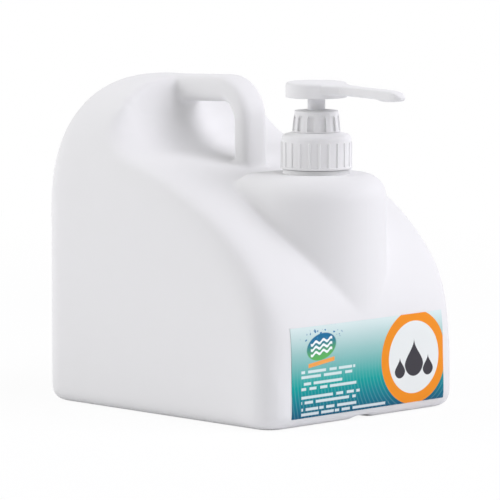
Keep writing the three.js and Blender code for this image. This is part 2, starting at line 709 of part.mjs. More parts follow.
function actuatorHead() {
  const socket = STEM_RADIUS + RUNNING_GAP / 3;
  const plenum = OUTLET_BALL_RADIUS - RUNNING_GAP;
  const plenumTop = HEAD_TOP - HEAD_WALL;
  const edge = new THREE.Path();
  edge.absarc(HEAD_RADIUS - HEAD_EDGE, HEAD_TOP - HEAD_EDGE, HEAD_EDGE, 0, Math.PI / 2);
  const pad = turned([
    [0, HEAD_Z],
    [HEAD_RADIUS, HEAD_Z],
    ...edge.getPoints(EDGE_STEPS).map(({ x, y }) => [x, y]),
    [HEAD_RADIUS / 2, HEAD_TOP + HEAD_DOME * (1 - 0.5 ** 2)],
    [0, HEAD_TOP + HEAD_DOME],
  ]);
  const pocket = turned([
    [socket + HEAD_BOSS_WALL, HEAD_Z - HEAD_WALL],
    [HEAD_RADIUS - HEAD_WALL, HEAD_Z - HEAD_WALL],
    [HEAD_RADIUS - HEAD_WALL, HEAD_TOP - HEAD_WALL - HEAD_EDGE],
    [socket + HEAD_BOSS_WALL, HEAD_TOP - HEAD_WALL - HEAD_EDGE],
  ]);
  const stemSocket = turned([
    [0, HEAD_Z - HEAD_WALL],
    [socket, HEAD_Z - HEAD_WALL],
    [socket, STEM_TOP + SEAT_GAP],
    [plenum, STEM_TOP + SEAT_GAP],
    [plenum, plenumTop],
    [0, plenumTop],
  ]);
  const outletDistance = SPOUT_REACH - BEAK_LENGTH / 2;
  const channelZ = plenumTop - CHANNEL_RADIUS - SEAT_GAP;
  const outletTop = channelZ + OUTLET_RADIUS / 3;
  const bore = (radius, length) => {
    return solidOf(new THREE.CylinderGeometry(radius, radius, length, CHANNEL_SIDES));
  };
  const channel = bore(CHANNEL_RADIUS, outletDistance).translate([0, -outletDistance / 2, channelZ]);
  const outlet = bore(OUTLET_RADIUS, HEAD_HEIGHT)
    .rotate([90, 0, 0])
    .translate([0, -outletDistance, outletTop - HEAD_HEIGHT / 2]);
  return cut(joined(cut(pad, pocket), spout()), stemSocket, channel, outlet);
}

// Assembly

function named(name, solid, material) {
  const mesh = new THREE.Mesh(geometryOf(solid), material);
  mesh.name = name;
  return mesh;
}

const pump = new THREE.Group();
pump.position.y = PUMP_Y;
pump.add(
  named("closure", closure(), pumpPlastic),
  named("neck_gasket", neckGasket(), gasketFoam),
  named("pump_housing", pumpHousing(), innerPlastic),
  named("lock_collar", lockCollar(), pumpPlastic),
  named("stem", stem(), pumpPlastic),
  named("piston", piston(), innerPlastic),
  named("return_spring", returnSpring(), steel),
  named(
    "inlet_ball",
    seatedBall(INLET_BALL_RADIUS, SEAT_HOLE, INLET_CHAMBER, SEAT_Z, SEAT_HEIGHT),
    steel,
  ),
  named(
    "outlet_ball",
    seatedBall(OUTLET_BALL_RADIUS, STEM_BORE, OUTLET_CHAMBER, OUTLET_SEAT_Z, OUTLET_SEAT_HEIGHT),
    steel,
  ),
  named("dip_tube", dipTube(), tubePlastic),
  named("actuator_head", actuatorHead(), pumpPlastic),
);

// The origin is under the middle of the overall box, which the spout makes longer in front
const soapPumpBottle = new THREE.Group();
soapPumpBottle.name = "hand_soap_pump_bottle";
soapPumpBottle.position.y = -(BACK_Y + Math.min(FRONT_Y, SPOUT_TIP_Y)) / 2;
soapPumpBottle.add(
  named("bottle", bottle(), tankPlastic),
  named("front_label", frontLabel(), labelFilm),
  pump,
);

export default soapPumpBottle;
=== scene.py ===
# %% [markdown]
# # Dressing a soap pump bottle
# The solids of the bottle and its pump are already made, at their real size, and every body that moves is
# known. This lesson makes the surfaces that are seen: a blown white tank with soft edges, a ribbed pump, a
# printed label. Each step says what the piece is and why it is made this way.

import math

import bmesh
import bpy
from mathutils import Matrix, Vector


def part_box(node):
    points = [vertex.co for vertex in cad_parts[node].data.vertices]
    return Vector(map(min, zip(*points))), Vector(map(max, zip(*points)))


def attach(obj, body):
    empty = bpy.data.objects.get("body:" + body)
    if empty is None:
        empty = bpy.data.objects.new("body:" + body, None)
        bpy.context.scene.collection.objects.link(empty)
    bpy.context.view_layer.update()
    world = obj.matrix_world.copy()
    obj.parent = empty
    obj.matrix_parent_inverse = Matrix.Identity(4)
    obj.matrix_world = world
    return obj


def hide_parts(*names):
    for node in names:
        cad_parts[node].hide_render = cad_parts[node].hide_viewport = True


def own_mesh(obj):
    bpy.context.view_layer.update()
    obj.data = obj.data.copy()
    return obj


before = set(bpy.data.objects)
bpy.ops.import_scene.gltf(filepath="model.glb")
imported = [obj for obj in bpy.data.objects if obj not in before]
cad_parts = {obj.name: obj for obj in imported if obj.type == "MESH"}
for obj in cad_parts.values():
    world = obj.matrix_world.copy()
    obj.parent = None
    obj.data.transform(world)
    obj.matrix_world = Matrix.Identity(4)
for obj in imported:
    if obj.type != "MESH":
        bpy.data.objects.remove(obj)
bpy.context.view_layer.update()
MM = 0.001

# %% [markdown]
# ## Camera
# A product like this is photographed from far away with a long lens, so its edges stay almost parallel. The
# camera stands on a circle round the tank, 45 degrees to the left of the front and a little above it. It
# aims slightly below the middle of the tank, because the photograph leaves more room under it than over it.

# %% Camera
PHOTO_PIXELS = 500
PIXELS_PER_METRE = 1610
VIEW_DISTANCE = 2.6
VIEW_AZIMUTH = math.radians(-44.72)
VIEW_ELEVATION = math.radians(6.0)
VIEW_HEIGHT = 0.110
AIM_DROP = 0.0144
SENSOR_WIDTH = 36.0


def direction(azimuth, elevation):
    """The unit vector towards an azimuth, counted from the front to the right, and an elevation."""
    level = math.cos(elevation)
    return Vector((math.sin(azimuth) * level, -math.cos(azimuth) * level, math.sin(elevation)))


def looking(name, data, place, ahead):
    """A camera or a lamp at a place, looking along a direction."""
    obj = bpy.data.objects.new(name, data)
    bpy.context.scene.collection.objects.link(obj)
    obj.location = place
    obj.rotation_euler = ahead.to_track_quat("-Z", "Y").to_euler()
    return obj


tank_low, tank_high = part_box("bottle")
tank_middle_y = (tank_low.y + tank_high.y) / 2
view_middle = Vector((0, tank_middle_y, VIEW_HEIGHT))
camera_data = bpy.data.cameras.new("camera")
camera_data.sensor_width = SENSOR_WIDTH
camera_data.lens = PIXELS_PER_METRE * VIEW_DISTANCE * SENSOR_WIDTH / PHOTO_PIXELS
camera_place = view_middle + VIEW_DISTANCE * direction(VIEW_AZIMUTH, VIEW_ELEVATION)
aim = view_middle - Vector((0, 0, AIM_DROP))
camera = looking("camera", camera_data, camera_place, aim - camera_place)
bpy.context.scene.camera = camera
print("camera", tuple(round(c, 3) for c in camera.location), "lens", round(camera_data.lens, 1))

# %% [markdown]
# ## Working as by hand
# Blender's operators act on whatever is selected, so each step first deselects everything and then picks
# what it needs. These few helpers take one object in hand, pick faces or edges by their place, and add a
# modifier and apply it.

# %% Helpers
TINY = 0.01 * MM
MERGE_DISTANCE = 0.002 * MM
FACING = 0.9
SMOOTH_FACTOR = 0.5


def put_down():
    """Back to object mode with nothing selected."""
    if bpy.context.mode != "OBJECT":
        bpy.ops.object.mode_set(mode="OBJECT")
    bpy.ops.object.select_all(action="DESELECT")


def take(obj):
    """Make obj the one selected and active object."""
    put_down()
    obj.select_set(True)
    bpy.context.view_layer.objects.active = obj
    return obj


def added(name, scale=(1, 1, 1)):
    """The primitive that was just added: named, stretched, and with its place moved into its mesh."""
    obj = bpy.context.object
    obj.name = obj.data.name = name
    obj.scale = scale
    bpy.ops.object.transform_apply(location=True, rotation=True, scale=True)
    return obj


def edit(obj):
    """Take obj in hand and go to edit mode with everything selected."""
    take(obj)
    bpy.ops.object.mode_set(mode="EDIT")
    bpy.ops.mesh.select_mode(type="VERT")
    bpy.ops.mesh.select_all(action="SELECT")


def middle(item):
    """The middle of an edge or a face."""
    return sum((v.co for v in item.verts), Vector()) / len(item.verts)


def pick(kind, test):
    """In edit mode, select only the vertices, edges or faces that pass a test."""
    mesh = bpy.context.object.data
    bpy.ops.mesh.select_mode(type=kind)
    bpy.ops.mesh.select_all(action="DESELECT")
    shape = bmesh.from_edit_mesh(mesh)
    items = {"VERT": shape.verts, "EDGE": shape.edges, "FACE": shape.faces}[kind]
    chosen = [item for item in items if test(item)]
    for item in chosen:
        item.select_set(True)
    shape.select_flush_mode()
    bmesh.update_edit_mesh(mesh)
    return len(chosen)


def pulled(*move):
    """Extrude what is selected along X, Y and Z."""
    bpy.ops.mesh.extrude_region_move(TRANSFORM_OT_translate={"value": move})


def worked(obj, kind, **settings):
    """Add one modifier to obj with these settings, and apply it."""
    take(obj)
    modifier = obj.modifiers.new(kind.title(), kind)
    for key, value in settings.items():
        setattr(modifier, key, value)
    bpy.ops.object.modifier_apply(modifier=modifier.name)
    return obj


def smoothed(obj, rounds, group=""):
    """Draw each point of obj towards its neighbours, as far as a vertex group says."""
    return worked(obj, "SMOOTH", factor=SMOOTH_FACTOR, iterations=rounds, vertex_group=group)


def combined(obj, other, operation):
    """Join, cut or intersect obj with another closed mesh, which is used up."""
    worked(obj, "BOOLEAN", object=other, operation=operation, solver="MANIFOLD")
    bpy.data.objects.remove(other)
    return obj


def joined(obj, *others):
    """Put other meshes into obj's mesh, as they are."""
    take(obj)
    for other in others:
        other.select_set(True)
    bpy.ops.object.join()
    return obj


def copied(obj, name):
    """A copy of obj with its own mesh."""
    copy = obj.copy()
    copy.data = obj.data.copy()
    copy.name = copy.data.name = name
    bpy.context.scene.collection.objects.link(copy)
    return copy


def outward(obj):
    """Merge double points and turn every face outwards."""
    edit(obj)
    bpy.ops.mesh.remove_doubles(threshold=MERGE_DISTANCE)
    bpy.ops.mesh.delete_loose(use_faces=False)
    bpy.ops.mesh.select_all(action="SELECT")
    bpy.ops.mesh.normals_make_consistent(inside=False)
    put_down()
    return obj


def said(obj):
    """Print what was made: its faces and its box in millimetres."""
    along_axes = list(zip(*obj.bound_box))
    corners = [[round(end(axis) / MM, 1) for axis in along_axes] for end in (min, max)]
    print(obj.name, len(obj.data.polygons), "faces", corners)
    return obj


print("helpers ready")

# %% [markdown]
# ## Tank: the block
# The tank is blown from one tube of plastic. Seen from behind it is a tombstone: straight sides under an
# arch. A cylinder that lies along Y gives the arch. It is cut at its middle, and because the real arch is a
# little squarer than a circle, its points are moved out to a superellipse. With the cut face pulled down to
# the floor it becomes the whole block, as deep as the bottle.

# %% Tombstone block
HALF_WIDTH = tank_high.x
DEPTH = tank_high.y - tank_low.y
HEIGHT = tank_high.z
ARCH_SPRING = HEIGHT - HALF_WIDTH
ARCH_DROP = 2 * MM
ARCH_RISE = HALF_WIDTH - ARCH_DROP
ARCH_SQUARENESS = 2.34
ARCH_SIDES = 192

put_down()
bpy.ops.mesh.primitive_cylinder_add(
    vertices=ARCH_SIDES, radius=1, depth=DEPTH,
    location=(0, tank_middle_y, ARCH_SPRING), rotation=(math.pi / 2, 0, 0),
)
bottle = added("blown_tank")
edit(bottle)
bpy.ops.mesh.bisect(plane_co=(0, 0, ARCH_SPRING), plane_no=(0, 0, 1), clear_inner=True, use_fill=True)
put_down()
for vertex in bottle.data.vertices:
    across = vertex.co.x
    up = vertex.co.z - ARCH_SPRING
    squared = (abs(across) ** ARCH_SQUARENESS + abs(up) ** ARCH_SQUARENESS) ** (1 / ARCH_SQUARENESS)
    vertex.co.x = across / squared * HALF_WIDTH
    vertex.co.z = ARCH_SPRING + up / squared * ARCH_RISE
edit(bottle)
pick("FACE", lambda face: face.normal.z < -FACING)
pulled(0, 0, -ARCH_SPRING)
outward(bottle)
said(bottle)

# %% [markdown]
# ## Tank: round corners
# Plastic that is blown against a mould can't fill a sharp corner, so every edge of the tank is round. The
# edges round the front and the back face, up one side, over the arch and down the other, get one wide
# bevel. The edge round the base gets a smaller one, made afterwards, so that it also follows the new round
# corners.

# %% Round corners
CORNER_RADIUS = 16.5 * MM
CORNER_SEGMENTS = 12
BASE_RADIUS = 8.5 * MM
BASE_SEGMENTS = 8


def on_base(edge):
    """An edge that lies on the floor."""
    return max(v.co.z for v in edge.verts) < TINY


def round_face(edge):
    """An edge of the front or the back face that isn't on the floor."""
    first, second = edge.verts
    return abs(first.co.y - second.co.y) < TINY and max(first.co.z, second.co.z) > TINY


edit(bottle)
pick("EDGE", round_face)
bpy.ops.mesh.bevel(offset=CORNER_RADIUS, segments=CORNER_SEGMENTS, affect="EDGES", clamp_overlap=False)
pick("EDGE", on_base)
bpy.ops.mesh.bevel(offset=BASE_RADIUS, segments=BASE_SEGMENTS, affect="EDGES", clamp_overlap=False)
outward(bottle)
said(bottle)

# %% [markdown]
# ## Tank: the slope
# In front of its rear block the tank is cut away by a slope that starts upright at the front face and
# flattens into a deck, a quarter of an ellipse in side view. It is a little crowned across the width near
# the front. At its rear the deck sweeps up into the wall of the rear block in a wide curve, with a shallow
# pocket for the fingers on each side of the middle. A grid pulled into that form and extruded upwards is a
# cutter with exactly this underside.

# %% Slope cutter
FRONT_FACE_HEIGHT = 44 * MM
FRONT_CROWN = 12 * MM
DECK_HEIGHT = 162 * MM
DECK_SETBACK = 10.5 * MM
BLOCK_DEPTH = 48 * MM
DECK_SWEEP = 26 * MM
POCKET_DEPTH = 4.5 * MM
POCKET_REACH = 55 * MM
CUTTER_MARGIN = 20 * MM
SLOPE_COLUMNS = 64
SLOPE_ROWS = 160

deck_y = tank_high.y - DECK_SETBACK
block_y = tank_high.y - BLOCK_DEPTH
slope_run = deck_y - tank_low.y


def slope_height(x, y):
    """Height of the slope: a quarter ellipse along Y, crowned across X where it is steep."""
    share = math.sqrt(max(1 - ((deck_y - y) / slope_run) ** 2, 0))
    crown = FRONT_CROWN * (1 - share) * (1 - min(abs(x) / HALF_WIDTH, 1) ** 2)
    return FRONT_FACE_HEIGHT + (DECK_HEIGHT - FRONT_FACE_HEIGHT) * share + crown


def wall_y(x):
    """Where the wall of the rear block stands, with a pocket on each side of the middle."""
    return block_y + POCKET_DEPTH * math.sin(math.pi * min(abs(x) / POCKET_REACH, 1))


def sweep_rise(x, y):
    """How far the deck has swept up towards the wall."""
    into = min(max(y - wall_y(x) + DECK_SWEEP, 0), DECK_SWEEP)
    return DECK_SWEEP - math.sqrt(DECK_SWEEP ** 2 - into ** 2)


put_down()
bpy.ops.mesh.primitive_grid_add(x_subdivisions=SLOPE_COLUMNS, y_subdivisions=SLOPE_ROWS, size=1)
cutter = added("slope_cutter")
for vertex in cutter.data.vertices:
    x = vertex.co.x * 2 * (HALF_WIDTH + CUTTER_MARGIN)
    y = wall_y(x) - (0.5 - vertex.co.y) * (wall_y(x) - tank_low.y + CUTTER_MARGIN)
    vertex.co = (x, y, slope_height(x, y) + sweep_rise(x, y))
edit(cutter)
pulled(0, 0, HEIGHT)
outward(cutter)
combined(bottle, cutter, "DIFFERENCE")
said(bottle)

# %% [markdown]
# ## Tank: soft slope
# The cut has left sharp edges along both sides of the slope and over the rear block. A bevel would fight
# itself where the slope runs out into the upright corners. So the block is remeshed into even small squares
# and smoothed, which rounds an edge as hands round clay. A weight on each point says how much: fully along
# the slope's sides, well on the shoulders of the rear block, little along its middle and hardly elsewhere.

# %% Soft slope
BLOCK_VOXEL = 2.2 * MM
SOFTENING = 180
EDGE_REACH = 36 * MM
DECK_SHARE = 0.3
RIDGE_REACH = 18 * MM
RIDGE_WEIGHT = 0.1
SHOULDER_X = 60 * MM
SHOULDER_WEIGHT = 0.85
REST_WEIGHT = 0.02


def softness(place):
    """How much the skin at this place of the tank is smoothed."""
    to_side = (HALF_WIDTH - abs(place.x)) / EDGE_REACH
    to_slope = abs(place.z - slope_height(place.x, place.y)) / EDGE_REACH
    to_block = max(place.y - block_y + DECK_SWEEP, 0) / EDGE_REACH
    along_side = 1 - max(to_side, to_slope, to_block) ** 2
    steepness = min(max((DECK_HEIGHT - place.z) / (DECK_HEIGHT - FRONT_FACE_HEIGHT), 0) * 2, 1)
    along_side *= DECK_SHARE + (1 - DECK_SHARE) * steepness
    to_ridge = abs(place.y - wall_y(place.x)) / RIDGE_REACH
    shoulder = min(max(abs(place.x) - SHOULDER_X, 0) / RIDGE_REACH, 1)
    at_ridge = (RIDGE_WEIGHT + (SHOULDER_WEIGHT - RIDGE_WEIGHT) * shoulder) * min(2 - 2 * to_ridge, 1)
    if place.z < ARCH_SPRING:
        at_ridge = 0
    return max(along_side, at_ridge, REST_WEIGHT)


def weighted(obj, name, weight):
    """Give obj a vertex group whose weight comes from each point's place."""
    group = obj.vertex_groups.new(name=name)
    for vertex in obj.data.vertices:
        group.add([vertex.index], weight(vertex.co), "REPLACE")
    return name


worked(bottle, "REMESH", mode="VOXEL", voxel_size=BLOCK_VOXEL)
weighted(bottle, "soften", softness)
smoothed(bottle, SOFTENING, "soften")
bottle.vertex_groups.clear()
said(bottle)

# %% [markdown]
# ## Tank: pinched base
# Where the two halves of the mould pinch the tube shut, the base has a shallow groove from front to back. A
# box with its upper face drawn narrower is taken out of the base.

# %% Base groove
GROOVE_WIDTH = 22 * MM
GROOVE_SLOPE = 4 * MM
GROOVE_HEIGHT = 2.4 * MM

put_down()
bpy.ops.mesh.primitive_cube_add(size=1, location=(0, tank_middle_y, 0))
groove = added("base_groove", (GROOVE_WIDTH, 2 * DEPTH, 2 * GROOVE_HEIGHT))
edit(groove)
pick("FACE", lambda face: face.normal.z > FACING)
narrowed = 1 - 2 * GROOVE_SLOPE / GROOVE_WIDTH
bpy.ops.transform.resize(value=(narrowed, 1, 1), center_override=(0, 0, 0))
outward(groove)
combined(bottle, groove, "DIFFERENCE")
said(bottle)

# %% [markdown]
# ## Tank: the carrying handle
# The handle is part of the same blown tube: a soft square bar that leaves the rear block level with its
# top, turns down in front of the finger hole and runs into the deck. A rounded rectangle is extruded to the
# bend, spun through a quarter turn and extruded down, as a pipe is bent. Then the leg is drawn slimmer than
# the bar, from the bend on.

# %% Handle
BAR_THICKNESS = 16.6 * MM
LEG_THICKNESS = 12.2 * MM
HANDLE_WIDTH = 20.8 * MM
HANDLE_ROUND = 5.6 * MM
HANDLE_SEGMENTS = 8
BEND_RADIUS = 26 * MM
LEG_SETBACK = 95.0 * MM
LEG_LEAN = 2 * MM
BAR_RISE = 2.1 * MM
BEND_STEPS = 24

bend_y = tank_low.y + LEG_SETBACK + BEND_RADIUS
bend_z = HEIGHT - BEND_RADIUS
bar_start_y = tank_high.y - BLOCK_DEPTH / 2
leg_foot_z = slope_height(0, bend_y - BEND_RADIUS) - 2 * LEG_THICKNESS

put_down()
bpy.ops.mesh.primitive_plane_add(
    size=1, rotation=(math.pi / 2, 0, 0), location=(0, bar_start_y, HEIGHT - BAR_RISE - BAR_THICKNESS / 2),
)
handle = added("handle", (HANDLE_WIDTH, BAR_THICKNESS, 1))
edit(handle)
bpy.ops.mesh.bevel(affect="VERTICES", offset=HANDLE_ROUND, segments=HANDLE_SEGMENTS)
pulled(0, bend_y - bar_start_y, BAR_RISE)
bpy.ops.mesh.spin(steps=BEND_STEPS, angle=-math.pi / 2, center=(0, bend_y, bend_z), axis=(1, 0, 0))
pulled(0, -LEG_LEAN, leg_foot_z - bend_z)
outward(handle)
for vertex in handle.data.vertices:
    out = Vector((0, vertex.co.y - bend_y, max(vertex.co.z - bend_z, 0)))
    if out.y < 0:
        turn = math.atan2(-out.y, out.z) / (math.pi / 2)
        slimmer = 1 - (1 - LEG_THICKNESS / BAR_THICKNESS) * turn
        depth = BEND_RADIUS - out.length
        vertex.co += out.normalized() * depth * (1 - slimmer)
said(handle)

# %% [markdown]
# ## Tank: the pump tower
# The pump stands on a round tower that grows out of the slope. Its front is half a cylinder, its straight
# sides run back as far again to two round corners, and its rim is well rounded all the way, because at the
# rear it still stands a little above the slope. A cylinder loses its rear half, the flat cut is pulled
# back, its two upright edges get a bevel, and then a wide bevel goes round the upper edge.

# %% Tower
TOWER_RADIUS = 43 * MM
TOWER_TOP = 147.5 * MM
TOWER_RIM = 14.5 * MM
RIM_SEGMENTS = 10
TOWER_REAR = 22 * MM
REAR_SEGMENTS = 8
TOWER_FOOT = 40 * MM
TOWER_SIDES = 96

closure_low, closure_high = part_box("closure")
pump_axis = Vector((0, (closure_low.y + closure_high.y) / 2, 0))
tower_rear = pump_axis.y + TOWER_RADIUS - TINY


def rear_upright(edge):
    """One of the two upright edges at the rear of the tower."""
    first, second = edge.verts
    return min(first.co.y, second.co.y) > tower_rear and abs(first.co.z - second.co.z) > MM


put_down()
bpy.ops.mesh.primitive_cylinder_add(
    vertices=TOWER_SIDES, radius=TOWER_RADIUS, depth=TOWER_TOP - TOWER_FOOT,
    location=(0, pump_axis.y, (TOWER_TOP + TOWER_FOOT) / 2),
)
tower = added("tower")
edit(tower)
bpy.ops.mesh.bisect(plane_co=pump_axis, plane_no=(0, 1, 0), clear_outer=True, use_fill=True)
pick("FACE", lambda face: face.normal.y > FACING)
pulled(0, TOWER_RADIUS, 0)
pick("EDGE", rear_upright)
bpy.ops.mesh.bevel(offset=TOWER_REAR, segments=REAR_SEGMENTS, affect="EDGES")
pick("FACE", lambda face: face.normal.z > FACING)
bpy.ops.mesh.dissolve_faces()
pick("EDGE", lambda edge: all(v.co.z > TOWER_TOP - MM for v in edge.verts))
bpy.ops.mesh.bevel(offset=TOWER_RIM, segments=RIM_SEGMENTS, affect="EDGES", clamp_overlap=False)
outward(tower)
said(tower)

# %% [markdown]
# ## Tank: one skin
# Block, handle and tower are one wall of plastic, so they are put together and remeshed into a single skin.
# A little smoothing turns the inner corners between them into the small fillets that a mould has, and more
# of it where the handle grows out of the block and out of the deck.

# %% One skin
SKIN_VOXEL = 1.5 * MM
SKIN_SMOOTHING = 5
ROOT_SMOOTHING = 10
ROOT_REACH = 14 * MM
FOOT_REACH = 1.6 * ROOT_REACH
FOOT_FLATNESS = 1.4

foot_y = bend_y - BEND_RADIUS + LEG_THICKNESS / 2
foot_z = slope_height(0, foot_y)


def handle_root(place):
    """1 where the handle grows out of the tank, fading to 0 around it."""
    beside = max(abs(place.x) - HANDLE_WIDTH, 0) / ROOT_REACH
    below = max(ARCH_SPRING + BEND_RADIUS - place.z, 0) / ROOT_REACH
    to_block = abs(place.y - block_y) / ROOT_REACH + below
    to_deck = math.hypot(place.y - foot_y, FOOT_FLATNESS * (place.z - foot_z)) / FOOT_REACH
    return max(0.0, 1 - beside - min(to_block, to_deck))


joined(bottle, handle, tower)
worked(bottle, "REMESH", mode="VOXEL", voxel_size=SKIN_VOXEL)
smoothed(bottle, SKIN_SMOOTHING)
weighted(bottle, "roots", handle_root)
smoothed(bottle, ROOT_SMOOTHING, "roots")
bottle.vertex_groups.clear()
said(bottle)

# %% [markdown]
# ## Turned pieces
# Everything on the pump is round, so most of it is turned: an outline of corners is drawn point by point
# beside the axis, its corners are rounded a little, and it is spun through a full circle. A thread or a
# spring is wound instead: a small outline is run up a helix by a Screw modifier.

# %% Spinning an outline
TURN_STEPS = 96
CORNER = 0.25 * MM
END_SIDES = 16


def turned(name, outline, steps=TURN_STEPS, corner=CORNER, segments=2):
    """Spin a closed outline of (radius, height) corners about the pump's axis."""
    put_down()
    bpy.ops.mesh.primitive_plane_add(size=MM)
    obj = added(name)
    edit(obj)
    bpy.ops.mesh.merge(type="CENTER")
    here = Vector((0, 0, 0))
    for index, (radius, height) in enumerate(outline):
        there = pump_axis + Vector((radius, 0, height))
        move = {"value": there - here}
        if index == 0:
            bpy.ops.transform.translate(**move)
        else:
            bpy.ops.mesh.extrude_vertices_move(TRANSFORM_OT_translate=move)
        here = there
    bpy.ops.mesh.select_all(action="SELECT")
    bpy.ops.mesh.edge_face_add()
    if corner:
        bpy.ops.mesh.bevel(affect="VERTICES", offset=corner, segments=segments, clamp_overlap=True)
    bpy.ops.mesh.select_all(action="SELECT")
    bpy.ops.mesh.delete(type="ONLY_FACE")
    bpy.ops.mesh.select_all(action="SELECT")
    bpy.ops.mesh.spin(steps=steps, angle=2 * math.pi, center=pump_axis, axis=(0, 0, 1))
    return outward(obj)


def wound(obj, turns, rise, steps):
    """Run an outline up a helix about the Z axis, close both ends and move it to the pump's axis."""
    worked(obj, "SCREW", angle=2 * math.pi * turns, screw_offset=rise, steps=steps, render_steps=steps)
    edit(obj)
    bpy.ops.mesh.select_all(action="DESELECT")
    bpy.ops.mesh.select_non_manifold()
    bpy.ops.mesh.fill_holes(sides=END_SIDES)
    outward(obj)
    obj.data.transform(Matrix.Translation(pump_axis))
    return obj


def quarter(centre_radius, centre_height, across, up, count):
    """Points of an outline along a quarter of an ellipse, from its side to its top."""
    angles = [math.pi / 2 * i / count for i in range(count + 1)]
    return [(centre_radius + across * math.cos(a), centre_height + up * math.sin(a)) for a in angles]


def ring_of(obj, count):
    """Copies of obj, evenly turned about the pump's axis, in one mesh with it."""
    copies = []
    for index in range(1, count):
        copy = copied(obj, f"{obj.name}_{index}")
        turn = Matrix.Rotation(2 * math.pi * index / count, 4, "Z")
        copy.data.transform(Matrix.Translation(pump_axis) @ turn @ Matrix.Translation(-pump_axis))
        copies.append(copy)
    return joined(obj, *copies)


print("pump axis at y", round(pump_axis.y / MM, 2), "mm")

# %% [markdown]
# ## Tank: neck and hollow
# The neck is the one crisp part of a blown tank, because a steel insert shapes it: a bead at its foot and a
# thread. The wall is 1.6 mm thick. A coarser copy of the skin, shrunk by the wall, is taken out of the
# inside with the bore.

# %% Neck
NECK_RADIUS = 17.6 * MM
NECK_BORE = 15.4 * MM
NECK_TOP = 168 * MM
BEAD_RADIUS = 20.4 * MM
BEAD_HEIGHT = 2.6 * MM
WALL = 1.6 * MM
THREAD_PITCH = 4.23 * MM
THREAD_TURNS = 2.4
THREAD_DEPTH = 1.1 * MM
THREAD_WIDTH = 2.2 * MM
THREAD_CREST = 0.5
THREAD_START = 154.5 * MM

neck = turned("neck", [
    (0, TOWER_TOP - 2 * WALL),
    (BEAD_RADIUS, TOWER_TOP - 2 * WALL),
    (BEAD_RADIUS, TOWER_TOP + BEAD_HEIGHT),
    (NECK_RADIUS, TOWER_TOP + BEAD_HEIGHT),
    (NECK_RADIUS, NECK_TOP),
    (0, NECK_TOP),
])

put_down()
bpy.ops.mesh.primitive_plane_add(
    size=1, rotation=(math.pi / 2, 0, 0), location=(NECK_RADIUS, 0, THREAD_START),
)
thread = added("thread", (2 * THREAD_DEPTH, THREAD_WIDTH, 1))
edit(thread)
pick("VERT", lambda vertex: vertex.co.x > NECK_RADIUS)
bpy.ops.transform.resize(value=(1, 1, THREAD_CREST), center_override=(0, 0, THREAD_START))
bpy.ops.mesh.select_all(action="SELECT")
bpy.ops.mesh.delete(type="ONLY_FACE")
wound(thread, THREAD_TURNS, THREAD_PITCH * THREAD_TURNS, round(TURN_STEPS * THREAD_TURNS))
combined(neck, thread, "UNION")
said(neck)

# %% Hollow
INNER_SHARE = 0.22

hollow = worked(copied(bottle, "hollow"), "DECIMATE", ratio=INNER_SHARE)
edit(hollow)
bpy.ops.transform.shrink_fatten(value=-WALL)
put_down()
bore = turned("bore", [
    (0, TOWER_TOP - 4 * WALL),
    (NECK_BORE, TOWER_TOP - 4 * WALL),
    (NECK_BORE, NECK_TOP + WALL),
    (0, NECK_TOP + WALL),
])
combined(hollow, bore, "UNION")
combined(bottle, neck, "UNION")
combined(bottle, hollow, "DIFFERENCE")
bottle.name = bottle.data.name = "blown_tank"
said(bottle)

# %% [markdown]
# ## Label
# A printed film is stuck to the front face and follows its curve. A fine grid is projected on to the tank
# and gets the film's thickness, so it can never float or sink. As in the photograph, it reaches a little
# lower and further to the right than its solid.

# %% Label
LABEL_GAP = 0.08 * MM
LABEL_THICKNESS = 0.25 * MM
LABEL_COLUMNS = 90
LABEL_ROWS = 36
LABEL_LOWER = 1.6 * MM
LABEL_ASIDE = 1.6 * MM

label_low, label_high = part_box("front_label")
label_low.z -= LABEL_LOWER
label_low.x += LABEL_ASIDE
label_high.x += LABEL_ASIDE
label_size = label_high - label_low
put_down()
label_middle = (label_low + label_high) / 2
bpy.ops.mesh.primitive_grid_add(
    x_subdivisions=LABEL_COLUMNS, y_subdivisions=LABEL_ROWS, size=1, rotation=(math.pi / 2, 0, 0),
    location=(label_middle.x, tank_low.y - CUTTER_MARGIN, label_middle.z),
)
label = added("label_film", (label_size.x, label_size.z, 1))
worked(
    label, "SHRINKWRAP", target=bottle, wrap_method="PROJECT", use_project_x=False, use_project_y=True,
    use_negative_direction=True, use_positive_direction=True, offset=LABEL_GAP,
)
worked(label, "SOLIDIFY", thickness=LABEL_THICKNESS, offset=1)
outward(label)
said(label)

# %% [markdown]
# ## Closure
# The screw closure is a cap with a rounded shoulder and 22 upright grip ribs above a plain band. The cap is
# turned. One rib is a small box with round edges, copied round the axis and joined to the wall. The tops of
# cap and collar and the pad's lower edge are about a millimetre lower than on the solids, as in the
# photograph.

# %% Closure
CLOSURE_RIBS = 22
STEPS_PER_RIB = 6
RIB_WIDTH = 1.5 * MM
RIB_DEPTH = 0.7 * MM
RIB_ROUND = 0.5 * MM
RIB_SEGMENTS = 3
RIB_SETBACK = 0.07 * MM
BAND_HEIGHT = 1.5 * MM
CLOSURE_WALL = 2.1 * MM
SHOULDER_HEIGHT = 3.0 * MM
SHOULDER_DEPTH = 2.6 * MM
SHOULDER_POINTS = 8
CLOSURE_DOME = 1.2 * MM
CLOSURE_LOWER = 0.9 * MM
RIB_TOP = 166.9 * MM
CLOSURE_CEILING = 170.5 * MM
CLOSURE_HOLE = 12.5 * MM
COLLAR_FOOT_RADIUS = 14.8 * MM

